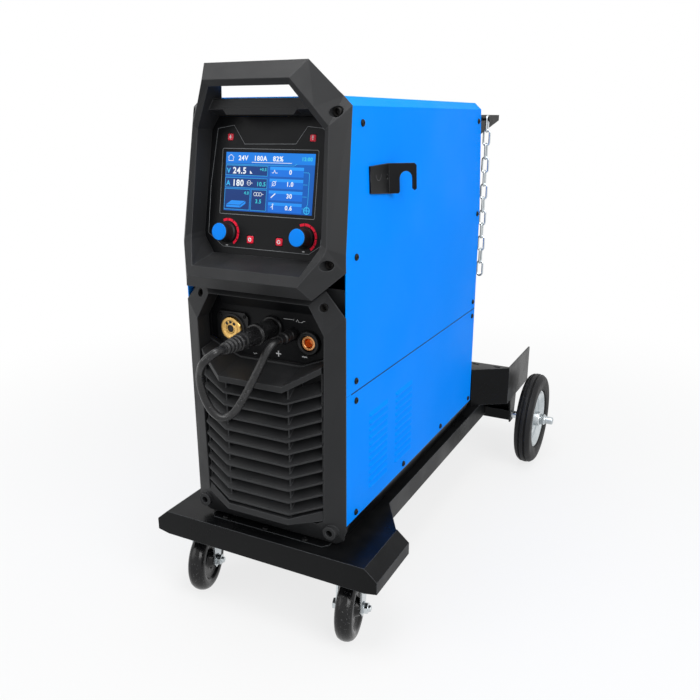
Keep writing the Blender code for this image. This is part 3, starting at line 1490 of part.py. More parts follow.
# ---------------------------------------------------------------- brackets and chain
def make_torch_hook():
    """Bent plate on the right side: a flange on the panel and a hooked arm."""
    flange = [
        (HOOK_Y, HOOK_LOW + 0.0045),
        (HOOK_BEND_Y, HOOK_LOW),
        (HOOK_BEND_Y, HOOK_HIGH),
        (HOOK_Y, HOOK_HIGH - 0.0010),
    ]
    sheets = [[(side_x(z) + GAP + depth, y, z) for y, z in flange] for depth in (0.0, HOOK_PLATE)]
    hook = piece("torch_hook", loft(sheets), BRACKET_BLACK)
    gap_start, gap_end = 0.0162, 0.0352
    arch = arc(((gap_start + gap_end) / 2, HOOK_HIGH - 0.0200), (gap_end - gap_start) / 2, 180, 0, 8)
    arm = [(-0.0010, HOOK_LOW), (0.0140, HOOK_LOW), (gap_start, HOOK_LOW + 0.0022)]
    arm += arch
    arm += [
        (gap_end, HOOK_LOW + 0.0060),
        (gap_end + 0.0030, HOOK_LOW + 0.0035),
        (HOOK_ARM, HOOK_LOW + 0.0060),
        (HOOK_ARM, HOOK_HIGH - 0.0030),
        (HOOK_ARM - 0.0030, HOOK_HIGH),
        (-0.0010, HOOK_HIGH),
    ]
    turn = math.radians(HOOK_ANGLE)
    along = Vector((math.sin(turn), math.cos(turn), 0))
    across = Vector((math.cos(turn), -math.sin(turn), 0))
    faces = []
    for depth in (0.0, HOOK_PLATE):
        sheet = []
        for s, z in arm:
            root = Vector((side_x(z) + GAP, HOOK_BEND_Y, z))
            sheet.append(root + along * s + across * depth)
        faces.append(sheet)
    join(hook, loft(faces))
    low, high = HOOK_LOW - 0.005, HOOK_HIGH + 0.005
    wall = [
        (side_x(low) + GAP / 2, low),
        (side_x(high) + GAP / 2, high),
        (side_x(high) - 0.010, high),
        (side_x(low) - 0.010, low),
    ]
    cut(hook, prism(wall, "y", HOOK_Y - 0.010, HOOK_BEND_Y + 0.010))
    cut(hook, rod("x", (0, 0.1077, 0.6512), 0.0030, SHOULDER_HALF, HALF + 0.010, 12))


def make_bottle_cradle():
    """Bracket behind the case that steadies the gas bottle, with the chain's pin."""
    start = CASE_DEPTH + GAP
    end = start + CRADLE_REACH
    half = CRADLE_X + PLATE / 2
    back = box((-half, start, CRADLE_LOW), (half, start + PLATE, CRADLE_TOP))
    cradle = piece("bottle_cradle", back, BRACKET_BLACK)
    cheek = [
        (start, CRADLE_LOW),
        (start, CRADLE_TOP),
        (end, CRADLE_TOP),
        (end, CRADLE_TOP - CRADLE_NOSE),
    ]
    shapes = [box((-half, start, CRADLE_TOP - PLATE), (half, end, CRADLE_TOP))]
    for side in (-1, 1):
        x = side * CRADLE_X
        shapes.append(prism(cheek, "x", x - PLATE / 2, x + PLATE / 2))
    join(cradle, *shapes)
    bottle = (0, BOTTLE_Y, 0)
    cut(cradle, rod("z", bottle, BOTTLE_RADIUS, CRADLE_LOW - 0.01, CRADLE_TOP + 0.01, 64))
    reach = CHAIN_X + LINK_WIRE + 0.0010
    pin = [
        (CRADLE_X, 0.0),
        (CRADLE_X, CHAIN_PIN_RADIUS),
        (reach, CHAIN_PIN_RADIUS),
        (reach, CHAIN_PIN_RADIUS * 1.9),
        (reach + 0.0018, CHAIN_PIN_RADIUS * 1.9),
        (reach + 0.0018, 0.0),
    ]
    join(cradle, turned(pin, "x", (0, CHAIN_Y, CHAIN_Z), 12))


def link(centre_z, turned_across):
    """One oval chain link about the chain's own line, hanging down from z = 0."""
    loop = []
    bend = LINK_WIDTH / 2 - LINK_WIRE
    straight = LINK_PITCH / 2 + LINK_WIRE - LINK_BITE - bend
    for start, middle in ((0, straight), (180, -straight)):
        for k in range(LINK_STEPS + 1):
            turn = math.radians(start + 180 * k / LINK_STEPS)
            loop.append((bend * math.cos(turn), middle + bend * math.sin(turn)))
    rings = []
    count = len(loop)
    for i, (across, up) in enumerate(loop):
        before, after = loop[i - 1], loop[(i + 1) % count]
        along = Vector((after[0] - before[0], after[1] - before[1])).normalized()
        ring = []
        for k in range(6):
            turn = 2 * math.pi * k / 6
            out = LINK_WIRE * math.cos(turn)
            side = LINK_WIRE * math.sin(turn)
            flat = (across + along.y * out, up - along.x * out)
            if turned_across:
                ring.append((flat[0], side, centre_z + flat[1]))
            else:
                ring.append((side, flat[0], centre_z + flat[1]))
        rings.append(ring)
    return loft(rings, closed=True)


def make_bottle_chain():
    """Chain that hangs from the cradle's pin, its links touching one below another."""
    axis = pivot("chain_axis", (CHAIN_X, CHAIN_Y, CHAIN_Z))
    inner_top = LINK_PITCH / 2 - LINK_BITE
    first = CHAIN_PIN_RADIUS + GAP - inner_top
    links = []
    for k in range(LINK_COUNT):
        links.append(link(first - k * LINK_PITCH, k % 2 == 1))
    chain = piece("bottle_chain", links[0], ZINC, axis, sharp=60)
    for other in links[1:]:
        join(chain, other)


# ---------------------------------------------------------------- inside
def make_wire_side():
    """Spool, its hub, and the wire feeder with its rolls and pressure arm."""
    wall = DIVIDER_X - SHEET / 2 - GAP
    spool_right = wall - HUB_STANDOFF
    spool_left = spool_right - SPOOL_WIDTH
    centre = (0, SPOOL_Y, SPOOL_Z)
    post = SPOOL_BORE - RUNNING_GAP / 2
    hub = [
        (wall, 0.0),
        (wall, 0.0360),
        (wall - 0.0040, 0.0360),
        (wall - 0.0080, 0.0180),
        (spool_right + 0.0040, 0.0180),
        (spool_right + 0.0030, 0.0330),
        (spool_right + RUNNING_GAP / 2, 0.0330),
        (spool_right + RUNNING_GAP / 2, post),
        (spool_left - 0.0120, post),
        (spool_left - 0.0120, 0.0),
    ]
    piece("spool_hub", turned(hub, "x", centre, 20), SPOOL_PLASTIC)
    axis = pivot("spool_axis", (0, SPOOL_Y, SPOOL_Z))
    flange = 0.0025
    spool = [
        (spool_right, SPOOL_BORE),
        (spool_right, SPOOL_RADIUS),
        (spool_right - flange, SPOOL_RADIUS),
        (spool_right - flange, SPOOL_CORE),
        (spool_left + flange, SPOOL_CORE),
        (spool_left + flange, SPOOL_RADIUS),
        (spool_left, SPOOL_RADIUS),
        (spool_left, SPOOL_BORE),
    ]
    piece("wire_spool", turned(spool, "x", (0, 0, 0), 32, ring=True), SPOOL_PLASTIC, axis)

    plate_left = EURO_X + ROLL_WIDTH / 2 + RUNNING_GAP
    plate_right = plate_left + 0.0080
    roll_z = EURO_Z - ROLL_RADIUS - WIRE_SPACE / 2
    idler_z = EURO_Z + IDLER_RADIUS + WIRE_SPACE / 2
    low_y, high_y = FEEDER_Y - 0.050, FEEDER_Y + 0.050
    shape = box((plate_left, low_y, SEAM_HEIGHT + GAP), (plate_right, high_y, EURO_Z + 0.002))
    feeder = piece("wire_feeder", shape, ALUMINIUM)
    motor_radius = 0.030
    motor_z = SEAM_HEIGHT + GAP + motor_radius
    stub = plate_left - ROLL_WIDTH - 2 * RUNNING_GAP
    pivot_y = FEEDER_Y - 0.032
    pivot_z = EURO_Z + 0.006
    join(
        feeder,
        rod("x", (0, FEEDER_Y, motor_z), motor_radius, plate_right - 0.002, wall, 28),
        rod("x", (0, FEEDER_Y, roll_z), 0.0040, stub, plate_left + 0.002, 12),
        box((plate_left, pivot_y - 0.008, EURO_Z - 0.004), (plate_right, pivot_y + 0.008, pivot_z + 0.008)),
        rod("x", (0, pivot_y, pivot_z), 0.0030, stub, plate_left + 0.002, 12),
    )

    roll_left = plate_left - RUNNING_GAP - ROLL_WIDTH
    roll_right = plate_left - RUNNING_GAP
    middle = (roll_left + roll_right) / 2
    axis = pivot("drive_roll_axis", (middle, FEEDER_Y, roll_z))
    half = ROLL_WIDTH / 2
    bore = 0.0040 + GAP
    groove = [
        (-half, bore),
        (-half, ROLL_RADIUS),
        (-0.0008, ROLL_RADIUS),
        (0.0, ROLL_RADIUS - 0.0007),
        (0.0008, ROLL_RADIUS),
        (half, ROLL_RADIUS),
        (half, bore),
    ]
    piece("drive_roll", turned(groove, "x", (0, 0, 0), 20, ring=True), STEEL, axis)

    arm_axis = pivot("pressure_arm_axis", (middle, pivot_y, pivot_z))
    idler_y = FEEDER_Y - pivot_y
    idler_up = idler_z - pivot_z
    cheek = half - 0.0035
    side_plate = [
        (-0.006, -0.005),
        (0.004, -0.006),
        (idler_y, idler_up - 0.007),
        (idler_y + 0.032, idler_up - 0.002),
        (idler_y + 0.032, idler_up + 0.009),
        (idler_y - 0.004, idler_up + 0.020),
        (-0.006, 0.007),
    ]
    arm = piece("pressure_arm", prism(side_plate, "x", -half, half), PLASTIC, arm_axis)
    room = IDLER_RADIUS + RUNNING_GAP
    cut(
        arm,
        rod("x", (0, idler_y, idler_up), room, -cheek, cheek, 28),
        rod("x", (0, 0, 0), 0.0030 + GAP, -ROLL_WIDTH, ROLL_WIDTH, 12),
    )
    join(arm, rod("x", (0, idler_y, idler_up), 0.0030, -half + 0.001, half - 0.001, 12))
    axis = pivot("pressure_roller_axis", (0, idler_y, idler_up), parent=arm_axis)
    width = cheek - 0.0006
    roller = hollow("x", (0, 0, 0), IDLER_RADIUS, 0.0030 + GAP, -width, width, 28)
    piece("pressure_roller", roller, STEEL, axis)


def make_power_block():
    """Inverter: a finned heat sink on the chassis floor, between front grille and fan."""
    low = FLOOR_Z + SHEET + GAP
    base = low + SINK_BASE
    top = low + SINK_HEIGHT
    pitch = 2 * SINK_HALF / SINK_FINS
    edge = SINK_HALF + 0.002
    outline = [(-edge, low), (edge, low), (edge, base)]
    for k in range(SINK_FINS, 0, -1):
        right = -SINK_HALF + k * pitch
        left = right - pitch
        outline += [(right - pitch * 0.30, base), (right - pitch * 0.30, top)]
        outline += [(left + pitch * 0.30, top), (left + pitch * 0.30, base)]
    outline += [(-edge, base)]
    piece("heat_sink", prism(outline, "y", SINK_FRONT, SINK_REAR), ALUMINIUM)


make_cart_deck()
make_bottle_tray()
make_axle_bracket()
make_rear_wheels()
make_casters()
make_base_chassis()
make_case_cover()
make_side_door()
make_lower_panels()
make_rear_panel()
make_rear_fittings()
make_inner_frame()
make_upper_bezel()
make_lower_bezel()
make_front_grille()
make_connector_panel()
make_control_panel()
make_connectors()
make_jumper_lead()
make_torch_hook()
make_bottle_cradle()
make_bottle_chain()
make_wire_side()
make_power_block()
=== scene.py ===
# %% Load the finished frame
import math

import bmesh
import bpy
from mathutils import Matrix, Vector


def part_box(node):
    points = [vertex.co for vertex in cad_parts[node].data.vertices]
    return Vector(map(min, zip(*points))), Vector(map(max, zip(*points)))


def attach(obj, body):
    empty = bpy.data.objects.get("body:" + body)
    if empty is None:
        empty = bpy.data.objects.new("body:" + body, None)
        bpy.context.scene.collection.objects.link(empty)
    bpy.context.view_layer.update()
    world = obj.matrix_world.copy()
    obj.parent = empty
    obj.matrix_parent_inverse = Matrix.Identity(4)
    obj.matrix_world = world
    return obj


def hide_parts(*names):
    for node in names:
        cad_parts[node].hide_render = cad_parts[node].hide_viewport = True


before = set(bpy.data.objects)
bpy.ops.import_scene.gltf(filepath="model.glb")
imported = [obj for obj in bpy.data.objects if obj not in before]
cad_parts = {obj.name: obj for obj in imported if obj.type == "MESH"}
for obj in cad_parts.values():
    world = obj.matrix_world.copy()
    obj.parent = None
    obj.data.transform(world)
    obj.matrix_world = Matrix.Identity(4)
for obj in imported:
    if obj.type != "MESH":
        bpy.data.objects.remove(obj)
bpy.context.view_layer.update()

# %% [markdown]
# # Dressing a MIG welder on its cart
# The frame above is the machine as a CAD model: every part has its size, its place and its joint, but only
# plain grey looks.
# In this lesson we keep the shapes that are right and give them real finishes.
# Round parts, screws, the chain and the printed panel are made again in finer detail.
# All lengths are in metres, the front of the machine looks along -Y and the floor is at z = 0.

# %% [markdown]
# ## Camera
# The picture was taken a little to the right of the machine and from about chest height, looking down.
# A 38 mm lens on a 36 mm wide sensor gives the same perspective: the lines of the case run together gently.

# %% Camera
def place_object(name, data):
    """A new object in the scene that shows the data."""
    item = bpy.data.objects.new(name, data)
    bpy.context.scene.collection.objects.link(item)
    return item


camera_data = bpy.data.cameras.new("studio_camera")
camera_data.lens = 38.0
camera_data.sensor_width = 36.0
camera_data.sensor_fit = "HORIZONTAL"
camera = place_object("studio_camera", camera_data)
camera.location = (0.53746, -1.18573, 0.72602)
camera.rotation_euler = (math.radians(72.554), 0.0, math.radians(26.943))
bpy.context.scene.camera = camera
bpy.context.scene.view_settings.view_transform = "Standard"
print("camera stands", round(camera.location.length, 2), "m from the origin")

# %% [markdown]
# ## Studio
# A catalogue picture has a white background, but a lamp strong enough to whiten the floor would bleach the
# paint.
# So the background asks the Light Path node what kind of ray is looking.
# Rays from the camera, and mirror rays from metal and glass, see white; the rays that light the object see
# a softer grey.

# %% World and floor
def seen_directly(tree):
    """A value of 1 for camera, glossy and transmission rays, and 0 for the rest."""
    path = tree.nodes.new("ShaderNodeLightPath")
    both = tree.nodes.new("ShaderNodeMath")
    both.operation = "MAXIMUM"
    tree.links.new(path.outputs["Is Camera Ray"], both.inputs[0])
    tree.links.new(path.outputs["Is Glossy Ray"], both.inputs[1])
    every = tree.nodes.new("ShaderNodeMath")
    every.operation = "MAXIMUM"
    tree.links.new(both.outputs[0], every.inputs[0])
    tree.links.new(path.outputs["Is Transmission Ray"], every.inputs[1])
    return every.outputs[0]


world = bpy.data.worlds.new("white_studio")
world.use_nodes = True
bpy.context.scene.world = world
tree = world.node_tree
tree.nodes.clear()
soft_light = tree.nodes.new("ShaderNodeBackground")
soft_light.inputs["Color"].default_value = (0.93, 0.97, 1.0, 1.0)
soft_light.inputs["Strength"].default_value = 0.42
white = tree.nodes.new("ShaderNodeBackground")
white.inputs["Color"].default_value = (1.0, 1.0, 1.0, 1.0)
white.inputs["Strength"].default_value = 1.0
choose = tree.nodes.new("ShaderNodeMixShader")
output = tree.nodes.new("ShaderNodeOutputWorld")
tree.links.new(seen_directly(tree), choose.inputs["Fac"])
tree.links.new(soft_light.outputs[0], choose.inputs[1])
tree.links.new(white.outputs[0], choose.inputs[2])
tree.links.new(choose.outputs[0], output.inputs["Surface"])

floor_mesh = bpy.data.meshes.new("studio_floor")
floor_mesh.from_pydata([(-6, -6, 0), (6, -6, 0), (6, 6, 0), (-6, 6, 0)], [], [(0, 1, 2, 3)])
floor = place_object("studio_floor", floor_mesh)
floor_paper = bpy.data.materials.new("floor_paper")
floor_paper.use_nodes = True
tree = floor_paper.node_tree
tree.nodes.clear()
paper = tree.nodes.new("ShaderNodeBsdfDiffuse")
paper.inputs["Color"].default_value = (0.72, 0.72, 0.72, 1.0)
glow = tree.nodes.new("ShaderNodeEmission")
glow.inputs["Strength"].default_value = 1.0
blend_paper = tree.nodes.new("ShaderNodeMixShader")
share = tree.nodes.new("ShaderNodeMath")
share.operation = "MULTIPLY"
reach = tree.nodes.new("ShaderNodeVectorMath")
reach.operation = "LENGTH"
tree.links.new(tree.nodes.new("ShaderNodeTexCoord").outputs["Object"], reach.inputs[0])
fade = tree.nodes.new("ShaderNodeMapRange")
fade.interpolation_type = "SMOOTHSTEP"
fade.inputs["From Min"].default_value = 0.35
fade.inputs["From Max"].default_value = 1.60
fade.inputs["To Min"].default_value = 0.78
fade.inputs["To Max"].default_value = 1.0
tree.links.new(reach.outputs["Value"], fade.inputs["Value"])
tree.links.new(fade.outputs["Result"], share.inputs[1])
output = tree.nodes.new("ShaderNodeOutputMaterial")
tree.links.new(seen_directly(tree), share.inputs[0])
tree.links.new(share.outputs[0], blend_paper.inputs["Fac"])
tree.links.new(paper.outputs[0], blend_paper.inputs[1])
tree.links.new(glow.outputs[0], blend_paper.inputs[2])
tree.links.new(blend_paper.outputs[0], output.inputs["Surface"])
floor_mesh.materials.append(floor_paper)
print("floor is", round(floor.dimensions.x), "m wide and takes the shadow")

# %% [markdown]
# ## Lamps
# Three large area lamps act like soft boxes: one high on the right, a weaker one on the left, and one
# straight above the front.
# Large lamps give the satin plastic its broad grey sheen and keep the shadows soft.

# %% Area lamps
def soft_box(name, place, target, width, power):
    """A square area lamp at a place, aimed at a target."""
    data = bpy.data.lights.new(name, "AREA")
    data.size = width
    data.energy = power
    lamp = place_object(name, data)
    lamp.location = place
    lamp.rotation_euler = (Vector(target) - Vector(place)).to_track_quat("-Z", "Y").to_euler()


soft_box("key_right", (1.9, -1.3, 1.9), (0, 0, 0.50), 1.5, 44)
soft_box("fill_left", (-1.7, -2.2, 1.5), (0, -0.2, 0.5), 1.4, 13)
soft_box("top_front", (0.0, -0.5, 2.2), (0, -0.1, 0.6), 1.3, 25)

# %% [markdown]
# ## Shared effects as node groups
# Several finishes need the same effects: a fine grain, a painted highlight along sharp edges with patches of
# rubbed wear, and dust that settles on upward faces.
# Each is a node group that is built once and then placed in every material with its own numbers.
# A group only puts out masks and heights; the shader itself stays in the material, where it can still be
# changed by hand.

# %% Node group helpers
def new_group(name, inputs, outputs):
    """An empty shader node group with named number inputs and outputs."""
    group = bpy.data.node_groups.new(name, "ShaderNodeTree")
    for label, value in inputs.items():
        socket = group.interface.new_socket(name=label, in_out="INPUT", socket_type="NodeSocketFloat")
        socket.default_value = value
    for label in outputs:
        group.interface.new_socket(name=label, in_out="OUTPUT", socket_type="NodeSocketFloat")
    start = group.nodes.new("NodeGroupInput")
    end = group.nodes.new("NodeGroupOutput")
    return group, start, end


def chain_math(group, operation, first, second):
    """One Math node; each operand is a socket or a plain number."""
    node = group.nodes.new("ShaderNodeMath")
    node.operation = operation
    for place, value in enumerate((first, second)):
        if isinstance(value, (int, float)):
            node.inputs[place].default_value = value
        else:
            group.links.new(value, node.inputs[place])
    return node.outputs[0]


def ramp(group, value, low, high, to_low=0.0, to_high=1.0):
    """Stretch a value between two limits, smoothly."""
    node = group.nodes.new("ShaderNodeMapRange")
    node.interpolation_type = "SMOOTHSTEP"
    node.inputs["From Min"].default_value = low
    node.inputs["From Max"].default_value = high
    node.inputs["To Min"].default_value = to_low
    node.inputs["To Max"].default_value = to_high
    group.links.new(value, node.inputs["Value"])
    return node.outputs["Result"]


def noise(group, coordinates, scale, detail=3.0):
    """A Noise texture; its scale is a socket or a number."""
    node = group.nodes.new("ShaderNodeTexNoise")
    node.inputs["Detail"].default_value = detail
    group.links.new(coordinates, node.inputs["Vector"])
    if isinstance(scale, (int, float)):
        node.inputs["Scale"].default_value = scale
    else:
        group.links.new(scale, node.inputs["Scale"])
    return node.outputs["Fac"]


# %% Grain, painted edge highlight and wear, and dust groups
grain_group, start, end = new_group("fine_grain", {"Scale": 900.0, "Mottle Scale": 14.0},
                                    ("Height", "Mottle"))
place = grain_group.nodes.new("ShaderNodeTexCoord").outputs["Object"]
fine = noise(grain_group, place, start.outputs["Scale"], 2.0)
broad = noise(grain_group, place, start.outputs["Mottle Scale"], 4.0)
grain_group.links.new(ramp(grain_group, fine, 0.32, 0.68), end.inputs["Height"])
grain_group.links.new(ramp(grain_group, broad, 0.30, 0.70), end.inputs["Mottle"])

# Edge is the mask for a painted highlight along sharp edges; Rubbed is patchy real wear on those edges.
highlight_and_wear_group, start, end = new_group("edge_highlight_and_wear", {"Radius": 0.0012, "Patchiness": 60.0}, ("Edge", "Rubbed"))
rounded = highlight_and_wear_group.nodes.new("ShaderNodeBevel")
rounded.samples = 4
highlight_and_wear_group.links.new(start.outputs["Radius"], rounded.inputs["Radius"])
flat = highlight_and_wear_group.nodes.new("ShaderNodeNewGeometry")
compare = highlight_and_wear_group.nodes.new("ShaderNodeVectorMath")
compare.operation = "DOT_PRODUCT"
highlight_and_wear_group.links.new(rounded.outputs["Normal"], compare.inputs[0])
highlight_and_wear_group.links.new(flat.outputs["Normal"], compare.inputs[1])
edge = ramp(highlight_and_wear_group, compare.outputs["Value"], 0.995, 0.86)
place = highlight_and_wear_group.nodes.new("ShaderNodeTexCoord").outputs["Object"]
patch = ramp(highlight_and_wear_group, noise(highlight_and_wear_group, place, start.outputs["Patchiness"], 5.0), 0.42, 0.62)
highlight_and_wear_group.links.new(edge, end.inputs["Edge"])
highlight_and_wear_group.links.new(chain_math(highlight_and_wear_group, "MULTIPLY", edge, patch), end.inputs["Rubbed"])

dust_group, start, end = new_group("settled_dust", {"Scale": 35.0, "Speckle Scale": 420.0},
                                   ("Dust", "Speckle"))
place = dust_group.nodes.new("ShaderNodeTexCoord").outputs["Object"]
cloud = ramp(dust_group, noise(dust_group, place, start.outputs["Scale"], 6.0), 0.40, 0.75)
facing = dust_group.nodes.new("ShaderNodeNewGeometry")
split = dust_group.nodes.new("ShaderNodeSeparateXYZ")
dust_group.links.new(facing.outputs["Normal"], split.inputs[0])
upward = ramp(dust_group, split.outputs["Z"], 0.15, 0.95)
specks = ramp(dust_group, noise(dust_group, place, start.outputs["Speckle Scale"], 1.0), 0.66, 0.72)
dust_group.links.new(chain_math(dust_group, "MULTIPLY", cloud, upward), end.inputs["Dust"])
dust_group.links.new(specks, end.inputs["Speckle"])
print("node groups:", [group.name for group in bpy.data.node_groups])


# %% [markdown]
# ## Materials
# Every finish starts from one recipe: a base colour that drifts a little over the surface, a painted
# highlight along the edges, a trace of dust, and a bump from the grain.
# The Bevel node rounds the shading of sharp edges, so a folded sheet catches the light along its fold as
# real sheet metal does.
# Plain numbers such as the coat or the metallic value are set on the shader's own sockets.

# %% The finish recipe
def mix_colour(tree, factor, first, second):
    """Mix two colours by a factor socket; each colour is a socket or a triple."""
    node = tree.nodes.new("ShaderNodeMix")
    node.data_type = "RGBA"
    tree.links.new(factor, node.inputs["Factor"])
    for label, value in (("A", first), ("B", second)):
        socket = [s for s in node.inputs if s.name == label and s.type == "RGBA"][0]
        if isinstance(value, tuple):
            socket.default_value = (*value, 1.0)
        else:
            tree.links.new(value, socket)
    return [s for s in node.outputs if s.type == "RGBA"][0]


def use_group(tree, group, **values):
    """Place a node group and set its named inputs."""
    node = tree.nodes.new("ShaderNodeGroup")
    node.node_tree = group
    for label, value in values.items():
        node.inputs[label.replace("_", " ")].default_value = value
    return node


def finish(name, colour, drift, roughness, metallic=0.0, grain=900.0, depth=0.00002, edge=None,
           edge_radius=0.0010, edge_share=0.6, rubbed=None, dust=None, dust_share=0.35, speck=0.0,
           coat=0.0, mottle=14.0, rough_drift=0.06, sheen_spec=0.5):
    """A procedural finish: base colour, drift, a painted highlight and wear on the edges, dust and grain."""
    material = bpy.data.materials.new(name)
    material.use_nodes = True
    tree = material.node_tree
    shader = tree.nodes["Principled BSDF"]
    shader.inputs["Metallic"].default_value = metallic
    shader.inputs["Coat Weight"].default_value = coat
    shader.inputs["Coat Roughness"].default_value = 0.12
    shader.inputs["Specular IOR Level"].default_value = sheen_spec
    texture = use_group(tree, grain_group, Scale=grain, Mottle_Scale=mottle)
    base = mix_colour(tree, texture.outputs["Mottle"], colour, drift)
    level = ramp(tree, texture.outputs["Mottle"], 0.0, 1.0, roughness - rough_drift, roughness + rough_drift)
    # The edge colour is a painted highlight along sharp edges; the rubbed colour is patchy real wear.
    if edge:
        edge_light_and_wear = use_group(tree, highlight_and_wear_group, Radius=edge_radius, Patchiness=60.0)
        base = mix_colour(tree, chain_math(tree, "MULTIPLY", edge_light_and_wear.outputs["Edge"], edge_share), base, edge)
        if rubbed:
            base = mix_colour(tree, edge_light_and_wear.outputs["Rubbed"], base, rubbed)
    if dust:
        settled = use_group(tree, dust_group, Scale=35.0, Speckle_Scale=420.0)
        share = chain_math(tree, "MULTIPLY", settled.outputs["Dust"], dust_share)
        if speck:
            share = chain_math(tree, "MAXIMUM", share,
                               chain_math(tree, "MULTIPLY", settled.outputs["Speckle"], speck))
        base = mix_colour(tree, share, base, dust)
        level = chain_math(tree, "ADD", level, chain_math(tree, "MULTIPLY", share, 0.4))
    tree.links.new(base, shader.inputs["Base Color"])
    tree.links.new(level, shader.inputs["Roughness"])
    bump = tree.nodes.new("ShaderNodeBump")
    bump.inputs["Strength"].default_value = 0.55
    bump.inputs["Distance"].default_value = depth
    tree.links.new(texture.outputs["Height"], bump.inputs["Height"])
    if edge:
        corner = tree.nodes.new("ShaderNodeBevel")
        corner.samples = 4
        corner.inputs["Radius"].default_value = edge_radius
        tree.links.new(corner.outputs["Normal"], bump.inputs["Normal"])
    tree.links.new(bump.outputs["Normal"], shader.inputs["Normal"])
    return material


# %% The machine's finishes
DUST = (0.20, 0.19, 0.18)
finishes = {}


def add_finish(name, *colours, **settings):
    """Make a finish and file it under its name."""
    finishes[name] = finish(name, *colours, **settings)


# Each edge colour below is a painted highlight: a lighter colour along every sharp edge, where a rounded
# edge catches the lamps.
add_finish("blue_paint", (0.0, 0.250, 0.98), (0.0, 0.243, 0.955), 0.44, grain=520, depth=0.00004,
           edge=(0.01, 0.44, 1.0), edge_share=0.75, edge_radius=0.0014, sheen_spec=0.02, mottle=5.0)
add_finish("black_powder_coat", (0.0024, 0.0027, 0.0031), (0.0034, 0.0037, 0.0042), 0.33, grain=620,
           depth=0.00003, edge=(0.150, 0.158, 0.168), edge_radius=0.0014, edge_share=0.6, dust=DUST,
           dust_share=0.015, speck=0.025, sheen_spec=0.12)
add_finish("bracket_powder_coat", (0.0032, 0.0034, 0.0040), (0.0048, 0.0050, 0.0056), 0.38, grain=700,
           depth=0.00005, edge=(0.040, 0.040, 0.042), rubbed=(0.14, 0.14, 0.14), dust=DUST, dust_share=0.03,
           sheen_spec=0.10)
add_finish("black_plastic", (0.0150, 0.0154, 0.0164), (0.0180, 0.0184, 0.0194), 0.50, grain=1500,
           depth=0.00006, edge=(0.074, 0.076, 0.080), edge_radius=0.0020, edge_share=0.6, dust=DUST,
           dust_share=0.03, sheen_spec=0.20)
add_finish("panel_foil", (0.0040, 0.0043, 0.0050), (0.0055, 0.0058, 0.0065), 0.42, grain=1900,
           depth=0.00003, edge=(0.03, 0.03, 0.032), edge_radius=0.0008, sheen_spec=0.12)
add_finish("connector_plastic", (0.0070, 0.0070, 0.0078), (0.0095, 0.0095, 0.0102), 0.34, grain=1400,
           depth=0.00003, edge=(0.055, 0.055, 0.058), edge_radius=0.0006, sheen_spec=0.30)
add_finish("black_rubber", (0.0065, 0.0065, 0.0070), (0.011, 0.011, 0.0115), 0.31, grain=1100,
           depth=0.00008, dust=(0.30, 0.30, 0.31), dust_share=0.07, speck=0.14, mottle=90.0,
           sheen_spec=0.38)
add_finish("tyre_rubber", (0.0075, 0.0075, 0.0080), (0.0130, 0.0130, 0.0136), 0.55, grain=800,
           depth=0.00010, dust=(0.15, 0.145, 0.14), dust_share=0.12, speck=0.10, mottle=45.0,
           sheen_spec=0.20)
add_finish("caster_rubber", (0.0025, 0.0025, 0.0030), (0.0045, 0.0045, 0.0050), 0.24, grain=500,
           depth=0.00008, dust=(0.30, 0.30, 0.30), dust_share=0.03, speck=0.22, mottle=60.0, coat=0.06,
           sheen_spec=0.26)
add_finish("zinc_plate", (0.60, 0.64, 0.66), (0.49, 0.53, 0.55), 0.26, metallic=1.0, grain=700,
           depth=0.00003, edge=(0.86, 0.88, 0.90), edge_radius=0.0005, mottle=38.0, rough_drift=0.08)
add_finish("bare_steel", (0.50, 0.50, 0.52), (0.40, 0.40, 0.42), 0.34, metallic=1.0, grain=1500,
           depth=0.00002, edge=(0.70, 0.70, 0.72), edge_radius=0.0004, mottle=150.0)
add_finish("brass", (0.78, 0.50, 0.17), (0.70, 0.43, 0.13), 0.30, metallic=1.0, grain=1300, depth=0.00002,
           edge=(0.95, 0.74, 0.38), edge_radius=0.0004, mottle=110.0, rough_drift=0.05)
add_finish("aluminium", (0.66, 0.67, 0.68), (0.56, 0.57, 0.58), 0.38, metallic=1.0, grain=900,
           depth=0.00003, edge=(0.85, 0.85, 0.86), edge_radius=0.0006, mottle=70.0)
add_finish("red_lens", (0.80, 0.008, 0.040), (0.62, 0.005, 0.028), 0.32, grain=1500, depth=0.00001,
           edge=(1.0, 0.20, 0.24), edge_radius=0.0006, coat=0.15, mottle=300.0, sheen_spec=0.25)
add_finish("display_glass", (0.010, 0.012, 0.016), (0.014, 0.016, 0.020), 0.14, grain=300, depth=0.000004,
           mottle=30.0, rough_drift=0.03, sheen_spec=0.15)
add_finish("spool_plastic", (0.045, 0.045, 0.05), (0.06, 0.06, 0.065), 0.50, grain=1200, depth=0.00005,
           edge=(0.12, 0.12, 0.13))
for name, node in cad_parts.items():
    for place in node.material_slots:
        place.material = finishes[place.material.name.split(".")[0]]
print("finishes:", len(finishes), "placed on", len(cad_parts), "nodes")


# %% [markdown]
# ## Turned parts
# Knobs, wheels, sockets and bolts come off a lathe or out of a round mould.
# We draw half of the section as a list of (place along the axis, radius), ease each corner with a small
# curve, and turn it round the axis.
# The eased corners are what makes a round part look solid, because they hold a thin line of light.

# %% Lathe helper
AXES = {"x": Matrix(((0, 0, 1, 0), (1, 0, 0, 0), (0, 1, 0, 0), (0, 0, 0, 1))),
        "y": Matrix(((0, 1, 0, 0), (0, 0, 1, 0), (1, 0, 0, 0), (0, 0, 0, 1))), "z": Matrix.Identity(4)}


def standing(axis, centre):
    """Matrix that lays a shape's own Z along an axis of the machine, through a centre."""
    return Matrix.Translation(centre) @ AXES[axis]


def smooth(mesh, sharp):
    """Smooth shading, apart from edges sharper than an angle in degrees."""
    mesh.shade_smooth()
    mesh.set_sharp_from_angle(angle=math.radians(sharp))


